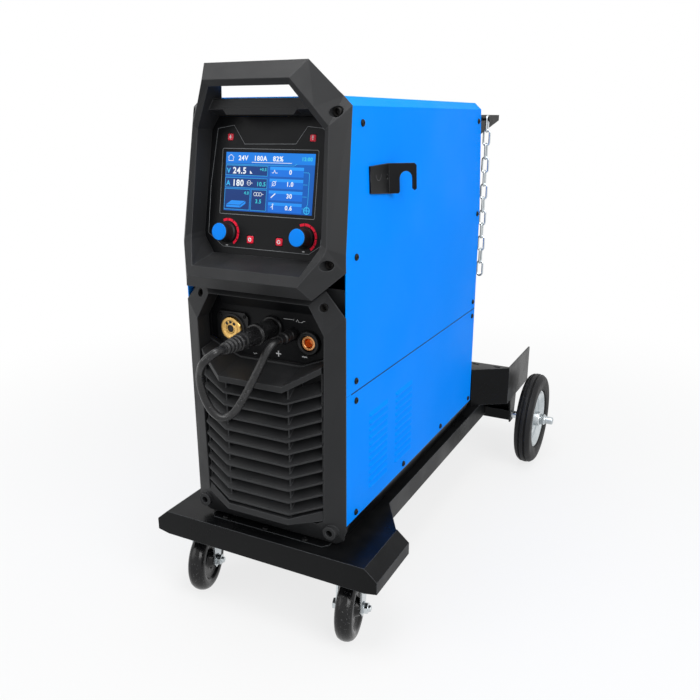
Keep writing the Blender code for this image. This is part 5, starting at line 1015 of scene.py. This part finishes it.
# %% Screen colours
def lit(name, low, high, strength=1.0, span=0.036):
    """A lit colour that grades from low to high up the panel."""
    material = bpy.data.materials.new(name)
    material.use_nodes = True
    tree = material.node_tree
    shader = tree.nodes["Principled BSDF"]
    place = tree.nodes.new("ShaderNodeTexCoord").outputs["Object"]
    split = tree.nodes.new("ShaderNodeSeparateXYZ")
    tree.links.new(place, split.inputs[0])
    up = ramp(tree, split.outputs["Z"], PANEL_MIDDLE - span, PANEL_MIDDLE + span)
    cloud = noise(tree, place, 22.0, 2.0)
    share = chain_math(tree, "MULTIPLY", chain_math(tree, "ADD", up, cloud), 0.5)
    glow = mix_colour(tree, share, low, high)
    shader.inputs["Base Color"].default_value = (0.004, 0.006, 0.010, 1.0)
    tree.links.new(glow, shader.inputs["Emission Color"])
    shader.inputs["Emission Strength"].default_value = strength
    shader.inputs["Roughness"].default_value = 0.22
    shader.inputs["Specular IOR Level"].default_value = 0.10
    return material


deep = lit("screen_deep", (0.000, 0.090, 0.44), (0.001, 0.120, 0.52))
tile = lit("screen_tile", (0.001, 0.120, 0.62), (0.003, 0.210, 0.85))
pale = lit("screen_pale", (0.006, 0.250, 0.88), (0.02, 0.36, 1.0))
shade = lit("screen_shade", (0.000, 0.026, 0.16), (0.001, 0.050, 0.25))
white_light = lit("screen_white", (0.80, 0.88, 0.96), (0.92, 0.96, 1.0))
teal = lit("screen_teal", (0.02, 0.50, 0.62), (0.06, 0.62, 0.78))
line_light = lit("screen_line", (0.02, 0.42, 0.80), (0.05, 0.52, 0.95))
print("screen colours:", 7)


# %% Screen layout
def numbers(name, words, u, v, size, material, lift, align="LEFT"):
    """Digits as a flat mesh on the panel."""
    data = bpy.data.curves.new(name, "FONT")
    data.body = words
    data.size = size
    data.align_x = align
    data.offset = size * 0.030
    data.space_character = 1.12
    data.resolution_u = 3
    text = place_object(name, data)
    bpy.context.view_layer.update()
    mesh = bpy.data.meshes.new_from_object(text.evaluated_get(bpy.context.evaluated_depsgraph_get()))
    bpy.data.objects.remove(text)
    mesh.transform(PANEL @ Matrix.Translation((u, -lift, v)) @ Matrix.Rotation(math.pi / 2, 4, "X"))
    mesh.materials.clear()
    mesh.materials.append(material)
    return place_object(name, mesh)


SCREEN_U, SCREEN_V = 0.0680, 0.0380
screen_parts = []


def screen_sheet(name, outlines, material, lift):
    """Add flat outlines to the picture, at a small height of their own."""
    screen_parts.append(sheet_of(name, outlines, material, PANEL, lift))


screen_sheet("picture", [rectangle(-SCREEN_U, -SCREEN_V, 2 * SCREEN_U, 2 * SCREEN_V)], deep, -0.00004)
tiles = [rectangle(-0.0672, 0.0085, 0.0655, 0.0125), rectangle(-0.0672, -0.0075, 0.0655, 0.0125)]
rows = [rectangle(0.0020, 0.0085 - 0.0150 * k, 0.0505, 0.0122) for k in range(4)]
screen_sheet("tiles", tiles, shade, 0.00002)
screen_sheet("rows", rows, tile, 0.00002)
screen_sheet("row_tops", [rectangle(0.0020, 0.0085 - 0.0150 * k + 0.0084, 0.0505, 0.0038)
                          for k in range(4)], pale, 0.00004)
screen_sheet("lower_tiles", [rectangle(-0.0672, -0.0360, 0.0400, 0.0265),
                             rectangle(-0.0250, -0.0360, 0.0232, 0.0265)], shade, 0.00002)
header = lit("screen_header", (0.000, 0.060, 0.40), (0.002, 0.260, 0.92))
screen_sheet("header", [rectangle(-SCREEN_U, 0.0240, 2 * SCREEN_U, 0.0140)], header, 0.00002)
thin = ribbon([(-0.0672, 0.0225), (0.0380, 0.0225), (0.0420, 0.0250)], 0.0005)
for u, v, width, height in ((-0.0672, 0.0085, 0.0655, 0.0125), (-0.0672, -0.0075, 0.0655, 0.0125),
                            (-0.0672, -0.0360, 0.0400, 0.0265), (-0.0250, -0.0360, 0.0232, 0.0265)):
    thin += ribbon(rectangle(u, v, width, height), 0.00045, closed=True)
for k in range(4):
    thin += ribbon([(0.0525, 0.0146 - 0.0150 * k), (0.0590, 0.0146 - 0.0150 * k)], 0.0005)
thin += ribbon([(0.0590, 0.0150), (0.0610, 0.0130), (0.0610, -0.0240), (0.0590, -0.0300)], 0.0006)
screen_sheet("thin_lines", thin, line_light, 0.00006)
slab = [[(-0.0640, -0.0300), (-0.0420, -0.0300), (-0.0340, -0.0245), (-0.0560, -0.0245)],
        [(-0.0640, -0.0335), (-0.0420, -0.0335), (-0.0420, -0.0306), (-0.0640, -0.0306)],
        [(-0.0414, -0.0335), (-0.0334, -0.0280), (-0.0334, -0.0249), (-0.0414, -0.0304)]]
screen_sheet("slab_icon", slab, pale, 0.00008)
icons = ribbon([(-0.0650, 0.0310), (-0.0600, 0.0350), (-0.0550, 0.0310)], 0.0006)
icons += ribbon([(-0.0635, 0.0312), (-0.0635, 0.0270), (-0.0565, 0.0270), (-0.0565, 0.0312)], 0.0006)
icons += ribbon([(0.0050, 0.0130), (0.0075, 0.0130), (0.0090, 0.0165), (0.0105, 0.0130), (0.0135, 0.0130)],
                0.0007)
icons += ribbon(circle_line((0.0090, -0.0005), 0.0027), 0.0007)
icons += ribbon([(0.0055, -0.0040), (0.0125, 0.0030)], 0.0006)
icons += ribbon([(0.0055, -0.0185), (0.0120, -0.0130)], 0.0014)
icons += ribbon([(0.0090, -0.0335), (0.0090, -0.0285), (0.0065, -0.0310)], 0.0009)
icons += ribbon(circle_line((0.0090, -0.0270), 0.0008), 0.0006)
icons += ribbon(circle_line((-0.0190, -0.0150), 0.0022), 0.0006)
icons += ribbon(circle_line((-0.0150, -0.0150), 0.0022), 0.0006)
icons += ribbon(circle_line((-0.0110, -0.0150), 0.0022), 0.0006)
icons += ribbon([(-0.0088, -0.0150), (-0.0060, -0.0150)], 0.0006)
icons += [[(-0.0290, 0.0110), (-0.0250, 0.0110), (-0.0290, 0.0150)]]
icons += ribbon(circle_line((-0.0295, -0.0010), 0.0030), 0.0006)
icons += ribbon([(-0.0325, -0.0010), (-0.0240, -0.0010)], 0.0006)
screen_sheet("icons", icons, white_light, 0.00008)
coil = ribbon(circle_line((0.0600, -0.0325), 0.0042), 0.0012)
coil += ribbon([(0.0558, -0.0325), (0.0642, -0.0325)], 0.0010)
coil += ribbon([(0.0600, -0.0283), (0.0600, -0.0367)], 0.0010)
screen_sheet("target_icon", coil, line_light, 0.00008)
readouts = [("24.5", -0.0560, 0.0108, 0.0112, white_light, "LEFT"),
            ("180", -0.0560, -0.0052, 0.0112, white_light, "LEFT"),
            ("V", -0.0655, 0.0110, 0.0090, line_light, "LEFT"),
            ("A", -0.0655, -0.0050, 0.0090, line_light, "LEFT"),
            ("+0.5", -0.0035, 0.0150, 0.0052, teal, "RIGHT"),
            ("10.5", -0.0035, -0.0045, 0.0075, teal, "RIGHT"),
            ("4.0", -0.0290, -0.0160, 0.0056, teal, "RIGHT"),
            ("3.5", -0.0135, -0.0265, 0.0070, teal, "CENTER"),
            ("0", 0.0330, 0.0118, 0.0078, white_light, "CENTER"),
            ("1.0", 0.0330, -0.0032, 0.0078, white_light, "CENTER"),
            ("30", 0.0330, -0.0182, 0.0078, white_light, "CENTER"),
            ("0.6", 0.0330, -0.0332, 0.0078, white_light, "CENTER"),
            ("24V   180A   82%", -0.0480, 0.0278, 0.0086, white_light, "LEFT"),
            ("12:00", 0.0640, 0.0290, 0.0064, teal, "RIGHT")]
for k, (words, u, v, size, material, align) in enumerate(readouts):
    screen_parts.append(numbers(f"digits_{k}", words, u, v, size, material, 0.00010, align))
screen_sheet("underline", ribbon([(-0.0270, 0.0256), (0.0340, 0.0256)], 0.0006), white_light, 0.00008)
picture = merged("display_picture", screen_parts)
fit(picture, "machine_and_cart", "display_glass")
print("display picture has", len(picture.data.polygons), "faces")

# %% [markdown]
# ## Seams
# Sheet metal panels never quite touch, and from a step away the shade inside the gap between two of them
# reads as one black line.
# The gap in the CAD model is real but narrow, so a strip of painted shade is laid just in front of it, with
# its lower edge on the lower panel.

# %% Painted shade line between cover and lower panel
SEAM_Z, SEAM_HIGH = 0.3768, 0.0017
# This near-black ink is painted shade, a strip standing for the shadow inside the gap.
seam_black = ink("seam_black", (0.004, 0.010, 0.030), roughness=0.7)
seam_shadow_outline = rectangle(spot_y(0.0015), SEAM_Z - SEAM_HIGH / 2, 0.5240, SEAM_HIGH)
for name, side in (("left", -1), ("right", 1)):
    outline = [(side * u, v) for u, v in seam_shadow_outline]
    fit(sheet_of(f"seam_{name}", [outline], seam_black, side_wall(side)), "machine_and_cart", "blue_paint")
print("seam at", SEAM_Z, "m above the floor")

# %% [markdown]
# ## Louvres
# The cooling louvres are pressed out of the sheet and open downward, so shade falls in the slot under each
# lip.
# The lips are in the CAD model; here each gets its shade painted on, a thin deep blue strip just below it,
# one rule for all of them.

# %% Painted shade under the louvres
LOUVRE_COLUMNS = ((0.057, 0.122), (0.150, 0.216))
LOUVRE_LOWEST, LOUVRE_PITCH, LOUVRE_COUNT = 0.2130, 0.0111, 11
# This deep blue ink is painted shade for the slot under each louvre lip.
louvre_shadow_blue = ink("louvre_shadow_blue", (0.0, 0.085, 0.42), roughness=0.6)
slots = []
for start, end in LOUVRE_COLUMNS:
    for k in range(LOUVRE_COUNT):
        z = LOUVRE_LOWEST + k * LOUVRE_PITCH
        slots.append(ribbon([(spot_y(start + 0.003), z - 0.0006), (spot_y(end - 0.003), z - 0.0006)],
                            0.0013)[0])
for name, side in (("left", -1), ("right", 1)):
    outlines = [[(side * u, v) for u, v in outline] for outline in slots]
    fit(sheet_of(f"louvre_slots_{name}", outlines, louvre_shadow_blue, side_wall(side)), "machine_and_cart",
        "blue_paint")
print("slots:", 2 * len(slots))

# %% [markdown]
# ## Screws
# The same black pan head screw holds every panel, so it is modelled once and repeated by a Geometry Nodes
# tree.
# The tree takes loose points that carry a direction, stands a screw on each, and ends by making the copies
# real.
# Each set of screws gets its own mesh, and all of them ride on the machine and cart.

# %% The screw and its tree
# The screws' edge colour is a painted highlight on the rims of the heads.
screw_black = finish("screw_black", (0.0028, 0.0028, 0.0032), (0.0045, 0.0045, 0.0050), 0.34, grain=900,
                     edge=(0.045, 0.045, 0.045), edge_radius=0.0004, sheen_spec=0.16)


def screw_head(name, radius, height, socket, material, sides=24):
    """A pan head with a hexagon socket, drawn standing on z = 0."""
    rim = [(0.0, radius), (height * 0.45, radius), (height * 0.85, radius * 0.84), (height, radius * 0.66)]
    points = []
    for along, reach in rim:
        for k in range(sides):
            turn = 2 * math.pi * k / sides
            points.append((reach * math.cos(turn), reach * math.sin(turn), along))
    for depth in (height, height * 0.25):
        for k in range(sides):
            turn = 2 * math.pi * k / sides
            corner = (turn + math.pi / 6) % (math.pi / 3) - math.pi / 6
            points.append((socket / math.cos(corner) * math.cos(turn),
                           socket / math.cos(corner) * math.sin(turn), depth))
    return new_object(name, points, stacked(sides, len(points) // sides), material, 30.0)


def repeat_tree():
    """Geometry Nodes: stand a pattern object on every point along its direction."""
    group = bpy.data.node_groups.new("stand_on_points", "GeometryNodeTree")
    face = group.interface
    face.new_socket(name="Geometry", in_out="INPUT", socket_type="NodeSocketGeometry")
    face.new_socket(name="Pattern", in_out="INPUT", socket_type="NodeSocketObject")
    face.new_socket(name="Size", in_out="INPUT", socket_type="NodeSocketFloat").default_value = 1.0
    face.new_socket(name="Finish", in_out="INPUT", socket_type="NodeSocketMaterial")
    face.new_socket(name="Geometry", in_out="OUTPUT", socket_type="NodeSocketGeometry")
    nodes, links = group.nodes, group.links
    start, end = nodes.new("NodeGroupInput"), nodes.new("NodeGroupOutput")
    pattern = nodes.new("GeometryNodeObjectInfo")
    direction = nodes.new("GeometryNodeInputNamedAttribute")
    direction.data_type = "FLOAT_VECTOR"
    direction.inputs["Name"].default_value = "facing"
    align = nodes.new("FunctionNodeAlignRotationToVector")
    align.axis = "Z"
    spin = nodes.new("FunctionNodeRandomValue")
    spin.data_type = "FLOAT"
    spin.inputs[3].default_value = 6.283
    spin.inputs["Seed"].default_value = 7
    turn = nodes.new("FunctionNodeRotateRotation")
    turn.rotation_space = "LOCAL"
    about = nodes.new("FunctionNodeAxisAngleToRotation")
    stand = nodes.new("GeometryNodeInstanceOnPoints")
    real = nodes.new("GeometryNodeRealizeInstances")
    dress = nodes.new("GeometryNodeSetMaterial")
    links.new(start.outputs["Pattern"], pattern.inputs["Object"])
    links.new(direction.outputs[0], align.inputs["Vector"])
    links.new(spin.outputs[1], about.inputs["Angle"])
    links.new(align.outputs[0], turn.inputs["Rotation"])
    links.new(about.outputs[0], turn.inputs["Rotate By"])
    links.new(start.outputs["Geometry"], stand.inputs["Points"])
    links.new(pattern.outputs["Geometry"], stand.inputs["Instance"])
    links.new(turn.outputs[0], stand.inputs["Rotation"])
    links.new(start.outputs["Size"], stand.inputs["Scale"])
    links.new(stand.outputs[0], real.inputs[0])
    links.new(real.outputs[0], dress.inputs["Geometry"])
    links.new(start.outputs["Finish"], dress.inputs["Material"])
    links.new(dress.outputs[0], end.inputs[0])
    return group


stand_tree = repeat_tree()


def run_tree(name, host, tree, **inputs):
    """Run a Geometry Nodes tree on an object and keep its result as a plain mesh."""
    modifier = host.modifiers.new("nodes", "NODES")
    modifier.node_group = tree
    for item in tree.interface.items_tree:
        if item.in_out == "INPUT" and item.name in inputs:
            modifier[item.identifier] = inputs[item.name]
    bpy.context.view_layer.update()
    depsgraph = bpy.context.evaluated_depsgraph_get()
    mesh = bpy.data.meshes.new_from_object(host.evaluated_get(depsgraph))
    host.modifiers.remove(modifier)
    bpy.data.objects.remove(host)
    mesh.name = name
    smooth(mesh, 35)
    return place_object(name, mesh)


def stand_on(name, pattern, spots, material, size=1.0):
    """Stand copies of a pattern on (point, direction) spots."""
    mesh = bpy.data.meshes.new(name + "_points")
    mesh.from_pydata([point for point, _ in spots], [], [])
    facing = mesh.attributes.new("facing", "FLOAT_VECTOR", "POINT")
    for k, (_, direction) in enumerate(spots):
        facing.data[k].vector = direction
    host = place_object(name + "_points", mesh)
    return run_tree(name, host, stand_tree, Pattern=pattern, Size=size, Finish=material)


# %% Screws on the case
pan_head = screw_head("pan_head", 0.0045, 0.0026, 0.0019, screw_black)
SHOULDER_Z = 0.5650
LEAN_RATE = 0.0065 / (0.7402 - SHOULDER_Z)      # above the shoulder the sides lean in


def side_spot(side, y, z):
    """A point and direction on the side of the case."""
    drop = max(0.0, z - SHOULDER_Z) * LEAN_RATE
    direction = Vector((side, 0, LEAN_RATE if z > SHOULDER_Z else 0.0)).normalized()
    return Vector((side * (CASE_HALF - drop), spot_y(y), z)), direction


case_spots = []
for side in (-1, 1):
    case_spots += [side_spot(side, y, 0.720) for y in (0.043, 0.512)]
    for y in (0.015, 0.512):
        case_spots += [side_spot(side, y, z) for z in (0.558, 0.392, 0.364, 0.196)]
    case_spots += [side_spot(side, y, 0.196) for y in (0.186, 0.356)]
for x in (-0.0743, -0.0037, 0.0626):
    case_spots.append((Vector((x, spot_y(-0.0205), 0.1532)), Vector((0, 0, 1))))
CASE_DEPTH, SHEET, GUARD_Z, GUARD_REACH = 0.527, 0.0015, 0.300, 0.041
rear_face = spot_y(CASE_DEPTH - SHEET)
for z in (0.670, 0.560, 0.392, 0.364):
    for x in (-0.110, 0.110):
        case_spots.append((Vector((x, rear_face, z)), Vector((0, 1, 0))))
for u, v in ((-1, -1), (1, -1), (1, 1), (-1, 1)):
    case_spots.append((Vector((u * GUARD_REACH, rear_face, GUARD_Z + v * GUARD_REACH)), Vector((0, 1, 0))))
case_screws = stand_on("case_screws", pan_head, case_spots, screw_black)
fit(case_screws, "machine_and_cart", "black_powder_coat")

small_spots = []
for u, v in ((-1, -1), (1, -1), (1, 1), (-1, 1)):
    small_spots.append((Vector((EURO[0] + u * 0.0205, FACE - 0.0035, EURO[2] + v * 0.0178)),
                        Vector((0, -1, 0))))
small_spots.append(side_spot(1, 0.1077, 0.6512))
small_screws = stand_on("small_screws", pan_head, small_spots, screw_black, 0.55)
fit(small_screws, "machine_and_cart", "black_powder_coat")
# The light grey arc on the hook is a painted highlight, the light along the embossed ridge of its plate.
hook_groove = sheet_of("hook_groove", ribbon(circle_line((spot_y(0.0800), 0.6560), 0.0080, 180, 360, 14),
                                             0.0006), ink("arc_highlight_grey", (0.11, 0.11, 0.115)),
                       Matrix.Translation((CASE_HALF + 0.0033, 0, 0)) @ Matrix.Rotation(math.pi / 2, 4,
                                                                                        "Z"))
for vertex in hook_groove.data.vertices:
    vertex.co.x -= (vertex.co.z - SHOULDER_Z) * LEAN_RATE
fit(hook_groove, "machine_and_cart", "bracket_powder_coat")
RECESSES = ((0.1045, 0.7330, 0.0105), (0.1086, 0.5535, -0.0200), (0.1058, 0.1790, -0.0140),
            (0.0965, 0.4965, -0.0120))      # x, z and floor of the holes in the bezels
recess_spots = [(Vector((side * x, spot_y(floor), z)), Vector((0, -1, 0))) for side in (-1, 1) for x, z,
                floor in RECESSES]
# The recess screws take the painted shadow finish, darker than the other screws, and a black ring of painted
# shade lines each hole.
recess_screws = stand_on("recess_screws", pan_head, recess_spots, painted_shadow_black, 0.80)
fit(recess_screws, "machine_and_cart", "black_powder_coat")
shade_rings = [lathe("liner", [(place.y - 0.0005, 0.0040), (place.y - 0.0005, 0.0047),
                          (place.y - 0.0068, 0.0047), (place.y - 0.0068, 0.0044)],
                standing("y", (place.x, 0, place.z)), painted_shadow_black, 28, ring=True, ease=0) for place,
          _ in recess_spots]
fit(merged("recess_liners", shade_rings), "machine_and_cart", "black_plastic")
bpy.data.objects.remove(pan_head)
print("screws:", len(case_spots) + len(small_spots) + len(recess_spots))

# %% [markdown]
# ## Chain
# The bottle chain is a row of welded oval links, each turned a quarter against the one before.
# A second tree bends one link from a rounded rectangle, sweeps a round wire along it, and hangs the copies
# down a line.
# A small random turn keeps the chain from looking drawn with a ruler.

# %% Chain tree
LINK_WIRE, LINK_WIDTH, LINK_PITCH, LINK_COUNT = 0.0019, 0.0145, 0.0240, 12
CHAIN_PIN = Vector((0.1255, spot_y(0.5450), 0.7240))


def chain_tree():
    """Geometry Nodes: links along a line, every second one turned a quarter."""
    group = bpy.data.node_groups.new("hanging_chain", "GeometryNodeTree")
    face = group.interface
    face.new_socket(name="Geometry", in_out="INPUT", socket_type="NodeSocketGeometry")
    for label, value in (("Wire", LINK_WIRE), ("Width", LINK_WIDTH), ("Pitch", LINK_PITCH), ("Sway", 0.10)):
        face.new_socket(name=label, in_out="INPUT", socket_type="NodeSocketFloat").default_value = value
    face.new_socket(name="Links", in_out="INPUT", socket_type="NodeSocketInt").default_value = LINK_COUNT
    face.new_socket(name="Finish", in_out="INPUT", socket_type="NodeSocketMaterial")
    face.new_socket(name="Geometry", in_out="OUTPUT", socket_type="NodeSocketGeometry")
    nodes, links = group.nodes, group.links
    start, end = nodes.new("NodeGroupInput"), nodes.new("NodeGroupOutput")

    def maths(operation, first, second):
        return chain_math(group, operation, first, second)

    wire, width, pitch = (start.outputs[label] for label in ("Wire", "Width", "Pitch"))
    oval = nodes.new("GeometryNodeCurvePrimitiveQuadrilateral")
    links.new(maths("SUBTRACT", width, maths("MULTIPLY", wire, 2.0)), oval.inputs["Width"])
    links.new(maths("ADD", pitch, maths("MULTIPLY", wire, 1.68)), oval.inputs["Height"])
    bend = nodes.new("GeometryNodeFilletCurve")
    bend.mode = "POLY"
    bend.inputs["Count"].default_value = 7
    links.new(oval.outputs[0], bend.inputs["Curve"])
    links.new(maths("SUBTRACT", maths("MULTIPLY", width, 0.499), wire), bend.inputs["Radius"])
    profile = nodes.new("GeometryNodeCurvePrimitiveCircle")
    profile.inputs["Resolution"].default_value = 10
    links.new(wire, profile.inputs["Radius"])
    sweep = nodes.new("GeometryNodeCurveToMesh")
    links.new(bend.outputs[0], sweep.inputs["Curve"])
    links.new(profile.outputs[0], sweep.inputs["Profile Curve"])
    line = nodes.new("GeometryNodeMeshLine")
    links.new(start.outputs["Links"], line.inputs["Count"])
    drop = nodes.new("ShaderNodeCombineXYZ")
    links.new(maths("MULTIPLY", pitch, -1.0), drop.inputs["Z"])
    links.new(drop.outputs[0], line.inputs["Offset"])
    index = nodes.new("GeometryNodeInputIndex")
    quarter = maths("MULTIPLY", maths("MODULO", index.outputs[0], 2.0), math.pi / 2)
    chance = nodes.new("FunctionNodeRandomValue")
    chance.data_type = "FLOAT"
    chance.inputs[2].default_value = -1.0
    chance.inputs[3].default_value = 1.0
    chance.inputs["Seed"].default_value = 5
    sway = maths("MULTIPLY", chance.outputs[1], start.outputs["Sway"])
    turn = nodes.new("ShaderNodeCombineXYZ")
    links.new(maths("ADD", maths("ADD", quarter, sway), math.pi / 2), turn.inputs["Z"])
    upright = nodes.new("FunctionNodeEulerToRotation")
    links.new(turn.outputs[0], upright.inputs[0])
    lift = nodes.new("FunctionNodeAxisAngleToRotation")
    lift.inputs["Axis"].default_value = (1, 0, 0)
    lift.inputs["Angle"].default_value = math.pi / 2
    both = nodes.new("FunctionNodeRotateRotation")
    both.rotation_space = "LOCAL"
    links.new(upright.outputs[0], both.inputs["Rotation"])
    links.new(lift.outputs[0], both.inputs["Rotate By"])
    hang = nodes.new("GeometryNodeInstanceOnPoints")
    links.new(line.outputs[0], hang.inputs["Points"])
    links.new(sweep.outputs[0], hang.inputs["Instance"])
    links.new(both.outputs[0], hang.inputs["Rotation"])
    real = nodes.new("GeometryNodeRealizeInstances")
    dress = nodes.new("GeometryNodeSetMaterial")
    links.new(hang.outputs[0], real.inputs[0])
    links.new(real.outputs[0], dress.inputs["Geometry"])
    links.new(start.outputs["Finish"], dress.inputs["Material"])
    links.new(dress.outputs[0], end.inputs[0])
    return group


host = place_object("chain_host", bpy.data.meshes.new("chain_host"))
chain = run_tree("chain_links", host, chain_tree(), Wire=LINK_WIRE, Width=LINK_WIDTH, Pitch=LINK_PITCH,
                 Sway=0.10, Links=LINK_COUNT, Finish=finishes["zinc_plate"])
chain.data.transform(Matrix.Translation(CHAIN_PIN + Vector((0, 0, 0.0031 - (LINK_PITCH / 2 - 0.0003)))))
fit(chain, "chain", "zinc_plate", "bottle_chain")
low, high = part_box("bottle_chain")
print("chain hangs", round((high.z - low.z) * 1000), "mm")
